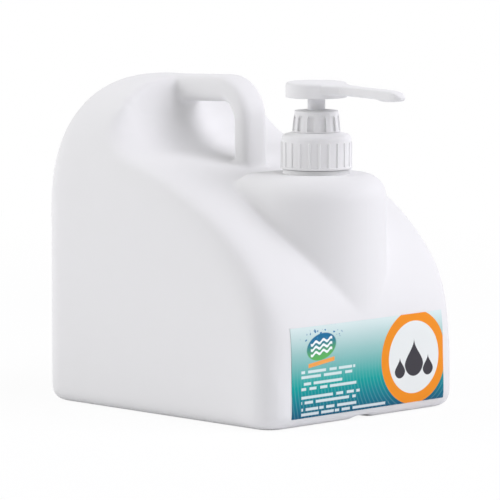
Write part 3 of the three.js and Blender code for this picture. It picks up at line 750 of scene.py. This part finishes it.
closure_radius = closure_high.x
closure_wall_radius = closure_radius - RIB_DEPTH
closure_inside = closure_wall_radius - CLOSURE_WALL
closure_top = closure_high.z - CLOSURE_LOWER
shoulder_z = closure_top - CLOSURE_DOME - SHOULDER_HEIGHT
closure = turned("ribbed_closure", [
    (closure_inside, closure_low.z),
    (closure_radius, closure_low.z),
    (closure_radius, closure_low.z + BAND_HEIGHT),
    (closure_wall_radius, closure_low.z + BAND_HEIGHT),
    *quarter(
        closure_wall_radius - SHOULDER_DEPTH, shoulder_z, SHOULDER_DEPTH, SHOULDER_HEIGHT, SHOULDER_POINTS,
    ),
    (COLLAR_FOOT_RADIUS, closure_top),
    (CLOSURE_HOLE, closure_top),
    (CLOSURE_HOLE, CLOSURE_CEILING),
    (closure_inside, CLOSURE_CEILING),
], steps=CLOSURE_RIBS * STEPS_PER_RIB)

rib_height = RIB_TOP - closure_low.z - BAND_HEIGHT / 2
put_down()
bpy.ops.mesh.primitive_cube_add(
    size=1,
    location=pump_axis + Vector((closure_radius - RIB_SETBACK - RIB_DEPTH, 0, RIB_TOP - rib_height / 2)),
)
rib = added("rib", (2 * RIB_DEPTH, RIB_WIDTH, rib_height))
edit(rib)
pick("EDGE", lambda edge: middle(edge).x > closure_radius - RIB_DEPTH)
bpy.ops.mesh.bevel(offset=RIB_ROUND, segments=RIB_SEGMENTS, affect="EDGES")
put_down()
combined(closure, ring_of(rib, CLOSURE_RIBS), "UNION")
said(closure)

# %% [markdown]
# ## Lock collar
# The fluted collar snaps on the pump's barrel and guides the stem. It tapers towards its top. Twelve flutes
# with round tops are cut into its side, each by a copy of one cutter.

# %% Lock collar
COLLAR_FLUTES = 12
STEPS_PER_FLUTE = 10
FLUTE_WIDTH = 4.2 * MM
FLUTE_ROUND = FLUTE_WIDTH / 2.05
FLUTE_SEGMENTS = 8
FLUTE_DEPTH = 1.25 * MM
FLUTE_HEIGHT = 9.6 * MM
COLLAR_TOP_RADIUS = 13.4 * MM
COLLAR_CONE = 0.8 * MM
COLLAR_LOWER = 1.2 * MM
FLUTE_LOWER = 0.8 * MM
COLLAR_GAP = 0.06 * MM
COLLAR_CAP = 2.6 * MM
COLLAR_ROUND = 0.5 * MM
COLLAR_EDGE = 0.15 * MM
COLLAR_EDGE_ANGLE = math.radians(40)
COLLAR_BORE = 12.2 * MM
STEM_HOLE = 5.7 * MM

collar_low, collar_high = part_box("lock_collar")
collar_low.z = closure_top + COLLAR_GAP
collar_high.z -= COLLAR_LOWER
collar_rim = collar_high.z - COLLAR_CONE
collar = turned("fluted_collar", [
    (COLLAR_BORE, collar_low.z),
    (COLLAR_FOOT_RADIUS, collar_low.z),
    (COLLAR_FOOT_RADIUS, collar_low.z + COLLAR_CONE),
    (COLLAR_TOP_RADIUS, collar_rim),
    (STEM_HOLE, collar_high.z),
    (STEM_HOLE, collar_rim - COLLAR_CAP),
    (COLLAR_BORE, collar_rim - COLLAR_CAP),
], steps=COLLAR_FLUTES * STEPS_PER_FLUTE, corner=COLLAR_ROUND, segments=3)

collar_height = collar_rim - collar_low.z
slant = math.atan2(COLLAR_FOOT_RADIUS - COLLAR_TOP_RADIUS, collar_height - COLLAR_CONE)
flute_z = collar_low.z + collar_height / 2 - FLUTE_LOWER
flute_middle = Vector(((COLLAR_FOOT_RADIUS + COLLAR_TOP_RADIUS) / 2, 0, flute_z))
put_down()
bpy.ops.mesh.primitive_cube_add(size=1, location=pump_axis + flute_middle, rotation=(0, -slant, 0))
flute = added("flute", (2 * FLUTE_DEPTH, FLUTE_WIDTH, FLUTE_HEIGHT))
edit(flute)
flute_top = flute_z + FLUTE_HEIGHT / 2 - MM
pick("EDGE", lambda edge: middle(edge).z > flute_top and abs(middle(edge).y) > FLUTE_WIDTH / 3)
bpy.ops.mesh.bevel(offset=FLUTE_ROUND, segments=FLUTE_SEGMENTS, affect="EDGES")
put_down()
combined(collar, ring_of(flute, COLLAR_FLUTES), "DIFFERENCE")
worked(
    collar, "BEVEL", width=COLLAR_EDGE, segments=2, limit_method="ANGLE", angle_limit=COLLAR_EDGE_ANGLE,
)
said(collar)

# %% [markdown]
# ## Stem
# The stem is a smooth tube that carries the head and drives the piston.

# %% Stem
STEM_RADIUS = 5.4 * MM
STEM_BORE = 2.4 * MM
STEM_FLANGE_RADIUS = 8.4 * MM
STEM_FLANGE = 1.2 * MM

stem_low, stem_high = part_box("stem")
stem = turned("pump_stem", [
    (STEM_BORE, stem_low.z),
    (STEM_FLANGE_RADIUS, stem_low.z),
    (STEM_FLANGE_RADIUS, stem_low.z + STEM_FLANGE),
    (STEM_RADIUS, stem_low.z + STEM_FLANGE),
    (STEM_RADIUS, stem_high.z),
    (STEM_BORE, stem_high.z),
])
said(stem)

# %% [markdown]
# ## Actuator head
# The head is a flat round pad with a long spout that ends in a beak, in one piece. The pad is turned, the
# spout is a rounded rectangle extruded from station to station, and the two are remeshed into one skin so
# that the spout grows out of the pad with a small fillet. Then the underside is hollowed. A station of the
# spout is its distance from the axis, its under and upper height and its width, in millimetres.

# %% Head
HEAD_EDGE = 2.2 * MM
HEAD_EDGE_POINTS = 6
HEAD_DOME = 0.6 * MM
DOME_SHARE = 0.6
PAD_LOWER = 0.9 * MM
HEAD_WALL = 1.7 * MM
HEAD_BOSS_WALL = 2.2 * MM
HEAD_VOXEL = 0.45 * MM
HEAD_SMOOTHING = 6
SPOUT_ROUND = 0.22
SPOUT_SEGMENTS = 6
SPOUT_STATIONS = [
    (6.0, 196.8, 202.9, 27.0),
    (12.0, 196.7, 202.8, 25.5),
    (17.0, 196.6, 202.7, 21.5),
    (21.0, 196.4, 202.5, 16.5),
    (25.0, 196.2, 202.3, 12.6),
    (30.0, 196.0, 202.1, 10.4),
    (38.0, 195.8, 201.7, 9.5),
    (46.0, 195.5, 201.5, 9.2),
    (54.0, 195.2, 201.3, 9.2),
    (55.5, 194.7, 201.3, 9.2),
    (57.5, 194.3, 201.2, 9.2),
    (62.0, 194.2, 201.0, 9.2),
    (66.0, 194.3, 200.7, 9.0),
    (69.0, 194.6, 199.9, 8.2),
    (71.0, 195.2, 198.3, 6.4),
    (72.5, 196.0, 197.1, 3.4),
]

head_low, head_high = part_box("actuator_head")
head_low.z -= PAD_LOWER
head_radius = head_high.x
head_top = head_high.z - HEAD_DOME
head = turned("actuator", [
    (0, head_low.z),
    (head_radius, head_low.z),
    *quarter(head_radius - HEAD_EDGE, head_top - HEAD_EDGE, HEAD_EDGE, HEAD_EDGE, HEAD_EDGE_POINTS),
    (DOME_SHARE * head_radius, head_top + (1 - DOME_SHARE ** 2) * HEAD_DOME),
    (0, head_high.z),
], corner=0)


def spout_section(point, distance, under, upper, width):
    """Where a point of the unit rounded square goes on one station of the spout."""
    height = (upper - under) * MM
    raised = under * MM + (point.z + 0.5) * height
    return pump_axis + Vector((point.x * width * MM, -distance * MM, raised))


put_down()
bpy.ops.mesh.primitive_plane_add(size=1, rotation=(math.pi / 2, 0, 0))
spout = added("spout")
edit(spout)
bpy.ops.mesh.bevel(affect="VERTICES", offset=SPOUT_ROUND, segments=SPOUT_SEGMENTS)
edit(spout)
for _ in SPOUT_STATIONS[1:]:
    pulled(0, -1, 0)
put_down()
for vertex in spout.data.vertices:
    station = SPOUT_STATIONS[round(-vertex.co.y)]
    vertex.co = spout_section(vertex.co, *station)
outward(spout)
joined(head, spout)
worked(head, "REMESH", mode="VOXEL", voxel_size=HEAD_VOXEL)
smoothed(head, HEAD_SMOOTHING)
said(head)

# %% Underside of the head
SOCKET_GAP = 0.1 * MM
SOCKET_RADIUS = STEM_RADIUS + SOCKET_GAP

pocket_top = head_top - HEAD_WALL - HEAD_EDGE
pocket = turned("pocket", [
    (SOCKET_RADIUS + HEAD_BOSS_WALL, head_low.z - HEAD_WALL),
    (head_radius - HEAD_WALL, head_low.z - HEAD_WALL),
    (head_radius - HEAD_WALL, pocket_top),
    (SOCKET_RADIUS + HEAD_BOSS_WALL, pocket_top),
])
socket = turned("socket", [
    (0, head_low.z - HEAD_WALL),
    (SOCKET_RADIUS, head_low.z - HEAD_WALL),
    (SOCKET_RADIUS, stem_high.z + SOCKET_GAP),
    (0, stem_high.z + SOCKET_GAP),
])
combined(head, pocket, "DIFFERENCE")
combined(head, socket, "DIFFERENCE")
said(head)

# %% [markdown]
# ## Return spring
# Inside the barrel a steel spring pushes the head up again. It is a small circle, wound as the thread is.
# It shortens with the pump's stroke.

# %% Return spring
SPRING_RADIUS = 7.4 * MM
SPRING_WIRE = 1.2 * MM
SPRING_TURNS = 8
SPRING_STEPS = 32
SPRING_SIDES = 12

spring_low, spring_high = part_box("return_spring")
spring_rise = spring_high.z - spring_low.z - SPRING_WIRE
put_down()
bpy.ops.mesh.primitive_circle_add(
    vertices=SPRING_SIDES, radius=SPRING_WIRE / 2, rotation=(math.pi / 2, 0, 0),
    location=(SPRING_RADIUS, 0, spring_low.z + SPRING_WIRE / 2),
)
spring = added("coil_spring")
wound(spring, SPRING_TURNS, spring_rise, SPRING_TURNS * SPRING_STEPS)
said(spring)

# %% [markdown]
# ## Shader maths
# A material's pattern is a sum of small steps. One class wraps a socket, so that sums are written as sums,
# and another holds a material in the making and adds any node with its settings and its inputs.

# %% Sockets as numbers
class Wire:
    """A socket that carries a value, with the operators of plain numbers."""

    def __init__(self, finish, socket):
        self.finish = finish
        self.socket = socket

    def math(self, operation, *operands):
        inputs = dict(enumerate(operands))
        return self.finish.node("Math", {"operation": operation}, inputs)

    def __add__(self, other):
        return self.math("ADD", self, other)

    def __sub__(self, other):
        return self.math("SUBTRACT", self, other)

    def __rsub__(self, other):
        return self.math("SUBTRACT", other, self)

    def __mul__(self, other):
        return self.math("MULTIPLY", self, other)

    def __truediv__(self, other):
        return self.math("DIVIDE", self, other)

    def __rtruediv__(self, other):
        return self.math("DIVIDE", other, self)

    def __pow__(self, other):
        return self.math("POWER", self, other)

    def __rpow__(self, other):
        return self.math("POWER", other, self)

    __radd__ = __add__
    __rmul__ = __mul__


class Finish:
    """A material or a world in the making: its shader, and one way to add any node."""

    def __init__(self, name, kind="materials", shader="Principled BSDF"):
        self.owner = getattr(bpy.data, kind).new(name)
        self.owner.use_nodes = True
        self.tree = self.owner.node_tree
        self.shader = self.tree.nodes[shader]

    def fill(self, node, inputs):
        for key, value in inputs.items():
            if isinstance(value, Wire):
                self.tree.links.new(value.socket, node.inputs[key])
            else:
                node.inputs[key].default_value = value

    def node(self, kind, settings, inputs, output=0):
        node = self.tree.nodes.new(f"ShaderNode{kind}")
        for key, value in settings.items():
            if key == "stops":
                ramp = node.color_ramp
                while len(ramp.elements) < len(value):
                    ramp.elements.new(1.0)
                for element, (position, colour) in zip(ramp.elements, value):
                    element.position = position
                    element.color = colour
            else:
                setattr(node, key, value)
        self.fill(node, inputs)
        return Wire(self, node.outputs[output])

    def place(self):
        """The three Object coordinates of the surface, in metres."""
        spot = self.node("TexCoord", {}, {}, "Object")
        return [self.node("SeparateXYZ", {}, {0: spot}, axis) for axis in "XYZ"]

    def noise(self, scale, detail=2.0, stretch=(1, 1, 1)):
        spot = self.node("TexCoord", {}, {}, "Object")
        spot = self.node("Mapping", {}, {"Vector": spot, "Scale": stretch})
        return self.node("TexNoise", {}, {"Vector": spot, "Scale": scale, "Detail": detail})

    def between(self, value, low, high):
        """0 below low, 1 above high, smooth in between."""
        settings = {"interpolation_type": "SMOOTHSTEP"}
        limits = {"Value": value, "From Min": low, "From Max": high}
        return self.node("MapRange", settings, limits)

    def mixed(self, share, first, second):
        return self.node("Mix", {"data_type": "RGBA"}, {0: share, 6: first, 7: second}, 2)

    def bump(self, height, distance, strength=1.0):
        return self.node("Bump", {}, {"Height": height, "Distance": distance, "Strength": strength})

    def shade(self, inputs):
        self.fill(self.shader, inputs)
        return self.owner

    def on_show(self):
        """1 for rays that show the white surroundings: directly, reflected or through something clear."""
        shown = 0.0
        for kind in ("Camera", "Glossy", "Transmission"):
            ray = self.node("LightPath", {}, {}, f"Is {kind} Ray")
            shown = ray.math("MAXIMUM", ray, shown)
        return shown


def colour(red, green, blue):
    """A colour given as it looks on screen, from 0 to 255, as the linear values that nodes take."""
    def linear(value):
        share = value / 255
        return share / 12.92 if share <= 0.04045 else ((share + 0.055) / 1.055) ** 2.4
    return (linear(red), linear(green), linear(blue), 1.0)


print("shader helpers ready")

# %% [markdown]
# ## Finish of the tank
# Blown polyethylene is a soft white with a satin skin. Light goes a little way into it. The skin isn't
# quite flat: it has a fine pebble from the mould and slow waves from the blowing, its gloss drifts from
# place to place, and a few dark specks sit in it.

# %% Tank plastic
BLOWING_SCALE = 14.0
BLOWING_HEIGHT = 0.4 * MM
PEBBLE_SCALE = 900.0
PEBBLE_HEIGHT = 0.02 * MM
SPECK_SCALE = 95.0
SPECK_START, SPECK_FULL = 0.185, 0.165
SPECK_SHARE = 0.55
TANK_WHITES = (243, 243, 245), (247, 247, 249)
SPECK_GREY = (150, 146, 142)
TANK_ROUGHNESS = 0.40


def tank_plastic():
    finish = Finish("tank_plastic")
    slow = finish.noise(BLOWING_SCALE)
    fine = finish.noise(PEBBLE_SCALE)
    speck = finish.between(finish.noise(SPECK_SCALE, 0.0), SPECK_START, SPECK_FULL)
    white = finish.mixed(slow, *(colour(*shade) for shade in TANK_WHITES))
    waves = finish.bump(slow, BLOWING_HEIGHT, 0.5)
    pebble = {"Height": fine, "Distance": PEBBLE_HEIGHT, "Strength": 0.25, "Normal": waves}
    return finish.shade({
        "Base Color": finish.mixed(speck * SPECK_SHARE, white, colour(*SPECK_GREY)),
        "Roughness": TANK_ROUGHNESS + slow * 0.08 + fine * 0.04,
        "Normal": finish.node("Bump", {}, pebble),
        "IOR": 1.5,
        "Subsurface Weight": 0.25,
        "Subsurface Radius": (1.0, 0.95, 0.9),
        "Subsurface Scale": 3.0 * MM,
    })


bottle.data.materials.append(tank_plastic())
print("tank plastic")

# %% [markdown]
# ## Finish of the pump
# The pump is injection moulded in polypropylene: about as white as the tank, with weaker reflections, with
# more light inside it, and with finer marks where the plastic has flowed.

# %% Pump plastic
FLOW_SCALE = 60.0
FLOW_STRETCH = (1, 1, 0.25)
FLOW_STEP = 2
GRAIN_SCALE = 1500.0
GRAIN_HEIGHT = 0.01 * MM


def pump_plastic(name, shade, roughness):
    finish = Finish(name)
    flow = finish.noise(FLOW_SCALE, 3.0, FLOW_STRETCH)
    low, high = (colour(*(channel + step for channel in shade)) for step in (-FLOW_STEP, FLOW_STEP))
    return finish.shade({
        "Base Color": finish.mixed(flow, low, high),
        "Roughness": roughness + flow * 0.08,
        "Normal": finish.bump(finish.noise(GRAIN_SCALE, 1.0), GRAIN_HEIGHT, 0.2),
        "IOR": 1.49,
        "Specular IOR Level": 0.3,
        "Subsurface Weight": 0.7,
        "Subsurface Radius": (1.0, 0.97, 0.95),
        "Subsurface Scale": 3.5 * MM,
    })


white_pump = pump_plastic("pump_plastic", (244, 244, 246), 0.42)
inner_pump = pump_plastic("inner_plastic", (228, 230, 230), 0.34)
for piece in (closure, collar, stem, head):
    piece.data.materials.append(white_pump)
print("pump plastic")

# %% [markdown]
# ## Finish of the label
# The label is a plain printed film in the colours of water, pale mint above, teal, and deep blue below,
# with faint ripples round an orange ring. The ring frames a pale disc with three dark drops. To the left of
# it stand an oval badge with three white waves, some spray round it, an orange strip under it, and bars for
# lines of print. Nothing is a picture: everything is worked out from the place on the film. A line is given
# by its height and right end, a drop by its place in the ring and its size, in millimetres.

# %% Label film
RING_X = 41.1 * MM
RING_Z = 34.5 * MM
RING_INNER = 22.2 * MM
RING_OUTER = 28.8 * MM
RIPPLE_PITCH = 2.8 * MM
FILM_SCALE = 120.0
FILM_HEIGHT = 0.03 * MM
PRINT_EDGE = 0.3 * MM
PRINT_LEFT = -57 * MM
PRINT_THICKNESS = 1.4 * MM
PRINT_LINES = [
    (34.2, -11.0), (31.2, -12.0), (27.1, -21.0), (24.0, -10.0),
    (18.9, -7.0), (15.8, -10.5), (11.7, -10.0), (8.7, 18.5),
]
WORD_LENGTH = 4.5 * MM
DROPS = [(0, -3.5, 8.2), (-12.5, -7.5, 4.6), (12.5, -7.5, 4.6)]
BADGE_X = -40 * MM
BADGE_Z = 48.5 * MM
BADGE_TILT = 0.12
BADGE_HALF_WIDTH = 12.5
BADGE_HALF_HEIGHT = 8.0
BADGE_EDGE = 0.3
STRIP_LOW, STRIP_HIGH = -10.6, -8.4
STRIP_REACH = 11.0
SPRAY_SCALE = 520.0
WAVE_LENGTH = 6.4
WAVE_RISE = 0.8
WAVE_WIDTH = 1.3
WAVE_REACH = 9.0
WAVE_HEIGHTS = (3.2, 0.0, -3.2)


def label_film():
    finish = Finish("label_film")
    x, _, z = finish.place()
    up = (z - label_low.z) / label_size.z
    water = finish.node("ValToRGB", {"stops": [
        (0.0, colour(8, 86, 120)),
        (0.20, colour(8, 131, 143)),
        (0.34, colour(8, 158, 153)),
        (0.43, colour(66, 170, 164)),
        (0.70, colour(154, 199, 196)),
        (1.0, colour(217, 232, 231)),
    ]}, {0: up})

    def within(value, low, high, soft=PRINT_EDGE):
        """1 between low and high, with a soft edge."""
        return finish.between(value, low - soft, low) * finish.between(value, high + soft, high)

    def drop(at_x, at_z, size):
        """A drop: round below, drawn to a point above."""
        dx = (x - RING_X - at_x * MM) / (size * MM)
        dz = (z - RING_Z - at_z * MM) / (size * MM)
        taper = 1 - finish.between(dz, -0.2, 1.9)
        wide = dx / (taper + 0.001)
        low = dz * finish.between(dz, 0.05, -0.05) + dz * 0.52 * finish.between(dz, -0.05, 0.05)
        return finish.between(wide * wide + low * low, 1.06, 0.94)

    from_ring = ((x - RING_X) ** 2 + (z - RING_Z) ** 2) ** 0.5
    turn = from_ring * (2 * math.pi / RIPPLE_PITCH)
    ripple = finish.between(turn.math("SINE", turn), 0.2, 1.0) * finish.between(up, 0.75, 0.3)
    printed = finish.mixed(ripple * 0.12, water, colour(160, 215, 210))

    lines = 0.0
    for height, right in PRINT_LINES:
        low = height * MM - PRINT_THICKNESS / 2
        along = {"W": x / WORD_LENGTH + height, "Scale": 1.0, "Detail": 0.0}
        gaps = finish.node("TexNoise", {"noise_dimensions": "1D"}, along)
        bar = within(z, low, low + PRINT_THICKNESS) * within(x, PRINT_LEFT, right * MM)
        lines = bar * finish.between(gaps, 0.33, 0.36) + lines
    printed = finish.mixed(lines * 0.8, printed, colour(232, 240, 240))

    badge_x = (x - BADGE_X) / MM
    badge_z = (z - BADGE_Z) / MM - badge_x * BADGE_TILT
    from_badge = (badge_x / BADGE_HALF_WIDTH) ** 2 + (badge_z / BADGE_HALF_HEIGHT) ** 2
    pond = finish.mixed(finish.between(badge_z, 6.0, -7.0), colour(26, 108, 150), colour(96, 178, 92))
    printed = finish.mixed(finish.between(from_badge, 1.08, 0.92), printed, pond)
    dots = finish.between(finish.noise(SPRAY_SCALE, 0.0), 0.66, 0.69)
    spray = dots * finish.between(from_badge, 3.4, 1.4) * finish.between(badge_z, 1.0, 4.0)
    printed = finish.mixed(spray, printed, colour(46, 122, 170))
    phase = badge_x * (2 * math.pi / WAVE_LENGTH)
    crest = phase.math("SINE", phase) * WAVE_RISE
    for height in WAVE_HEIGHTS:
        wave = within(badge_z - crest, height - WAVE_WIDTH / 2, height + WAVE_WIDTH / 2, BADGE_EDGE)
        wave = wave * within(badge_x, -WAVE_REACH, WAVE_REACH, BADGE_EDGE)
        printed = finish.mixed(wave, printed, colour(243, 247, 247))
    strip = within(badge_z, STRIP_LOW, STRIP_HIGH, BADGE_EDGE)
    strip = strip * within(badge_x, -STRIP_REACH, STRIP_REACH, BADGE_EDGE)
    printed = finish.mixed(strip, printed, colour(243, 164, 84))

    for radius, ink in ((RING_OUTER, colour(239, 144, 31)), (RING_INNER, colour(232, 236, 234))):
        printed = finish.mixed(finish.between(from_ring, radius + PRINT_EDGE, radius), printed, ink)
    drops = sum((drop(*place) for place in DROPS), 0.0)
    printed = finish.mixed(drops, printed, colour(62, 60, 66))
    grain = finish.noise(2500.0, 1.0)
    return finish.shade({
        "Base Color": printed,
        "Roughness": 0.42 + grain * 0.06,
        "Normal": finish.bump(finish.noise(FILM_SCALE), FILM_HEIGHT, 0.3),
        "IOR": 1.5,
        "Specular IOR Level": 0.15,
    })


label.data.materials.append(label_film())
print("label film")

# %% [markdown]
# ## Finish of the inner pieces
# The pieces inside the pump are hardly seen, but each has its own stuff: milky plastic, foam, a smoother
# tube and steel.

# %% Inner finishes
def gasket_foam():
    finish = Finish("gasket_foam")
    cells = finish.noise(2200.0)
    return finish.shade({
        "Base Color": finish.mixed(cells, colour(214, 216, 214), colour(230, 232, 230)),
        "Roughness": 0.75 + cells * 0.15,
        "Normal": finish.bump(cells, 0.05 * MM, 0.5),
    })


def spring_steel():
    finish = Finish("steel")
    drawn = finish.noise(1200.0, 2.0, (1, 1, 6))
    return finish.shade({
        "Base Color": finish.mixed(drawn, colour(176, 179, 184), colour(196, 198, 202)),
        "Metallic": 1.0,
        "Roughness": 0.22 + drawn * 0.12,
    })


steel = spring_steel()
spring.data.materials.append(steel)
inner_finishes = {
    "neck_gasket": gasket_foam(),
    "pump_housing": inner_pump,
    "piston": inner_pump,
    "dip_tube": pump_plastic("tube_plastic", (226, 230, 231), 0.26),
    "inlet_ball": steel,
    "outlet_ball": steel,
}
for node, material in inner_finishes.items():
    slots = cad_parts[node].data.materials
    slots.clear()
    slots.append(material)
print("inner finishes", sorted(inner_finishes))

# %% [markdown]
# ## Pieces on their bodies
# Each new piece rides on the body of the solid that it stands for, and is shaded smooth except where two
# faces meet at a sharp angle.

# %% Ride and replace
SHARP = math.radians(35)

standing_for = [
    (bottle, "tank", "bottle", "tank_plastic"),
    (label, "tank", "front_label", "label_film"),
    (closure, "closure_ring", "closure", "pump_plastic"),
    (collar, "pump_body", "lock_collar", "pump_plastic"),
    (stem, "head", "stem", "pump_plastic"),
    (head, "head", "actuator_head", "pump_plastic"),
    (spring, "pump_body", "return_spring", "steel"),
]
for piece, body, node, slot in standing_for:
    take(piece)
    bpy.ops.object.shade_smooth_by_angle(angle=SHARP)
    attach(piece, body)
    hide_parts(node)
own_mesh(spring)
print("riding", [piece.name for piece, *_ in standing_for])

# %% [markdown]
# ## Floor and light
# The photograph is a catalogue shot: a white sweep, a large soft light on each side and one high on the
# right. No light stands behind the camera, so the upright corner that points at it stays the darkest. To
# the camera, floor and world are plain white but for a faint shadow, and the world lights the tank with
# less.

# %% Floor
FLOOR_SIZE = 12.0
SHADOW_SHARE = 0.07
SHADOW_REACH = 0.3
SHADOW_FADE = 1.2

put_down()
bpy.ops.mesh.primitive_plane_add(size=FLOOR_SIZE)
floor = added("floor")
sweep = Finish("sweep")
x, y, _ = sweep.place()
away = (x ** 2 + y ** 2) ** 0.5
shadow = SHADOW_SHARE * sweep.between(away, SHADOW_FADE, SHADOW_REACH)
glow = sweep.node("Emission", {}, {"Strength": 1.0})
lit = Wire(sweep, sweep.shader.outputs[0])
mix = sweep.node("MixShader", {}, {0: sweep.on_show() * (1 - shadow), 1: lit, 2: glow})
sweep.fill(sweep.tree.nodes["Material Output"], {"Surface": mix})
grain = sweep.noise(3.0)
floor.data.materials.append(sweep.shade({
    "Base Color": sweep.mixed(grain, colour(240, 240, 241), colour(243, 243, 244)),
    "Roughness": 0.9 + grain * 0.05,
}))
print("floor", FLOOR_SIZE, "m")

# %% World and lamps
WORLD_LIGHT = 0.35
LAMP_DISTANCE = 2.3
LAMP_SIZE = 2.0
COOL = (0.945, 0.932, 1.0)
PALE = (0.985, 0.98, 1.0)
LAMPS = [
    ("left_side", -90, 25, 33.0, PALE),
    ("right_side", 90, 25, 9.5, COOL),
    ("right_top", 70, 50, 38.0, COOL),
]


def lamp(name, azimuth, elevation, power, tint):
    """A square softbox that looks at the tank, with its azimuth counted from the camera, in degrees."""
    data = bpy.data.lights.new(name, "AREA")
    data.energy = power
    data.size = LAMP_SIZE
    data.color = tint
    towards = direction(VIEW_AZIMUTH + math.radians(azimuth), math.radians(elevation))
    looking(name, data, view_middle + LAMP_DISTANCE * towards, -towards)


studio = Finish("studio", "worlds", "Background")
bpy.context.scene.world = studio.shade({
    "Color": (1.0, 1.0, 1.0, 1.0),
    "Strength": WORLD_LIGHT + (1 - WORLD_LIGHT) * studio.on_show(),
})

for settings in LAMPS:
    lamp(*settings)

bpy.context.scene.view_settings.view_transform = "Standard"
print("lamps", [name for name, *_ in LAMPS])
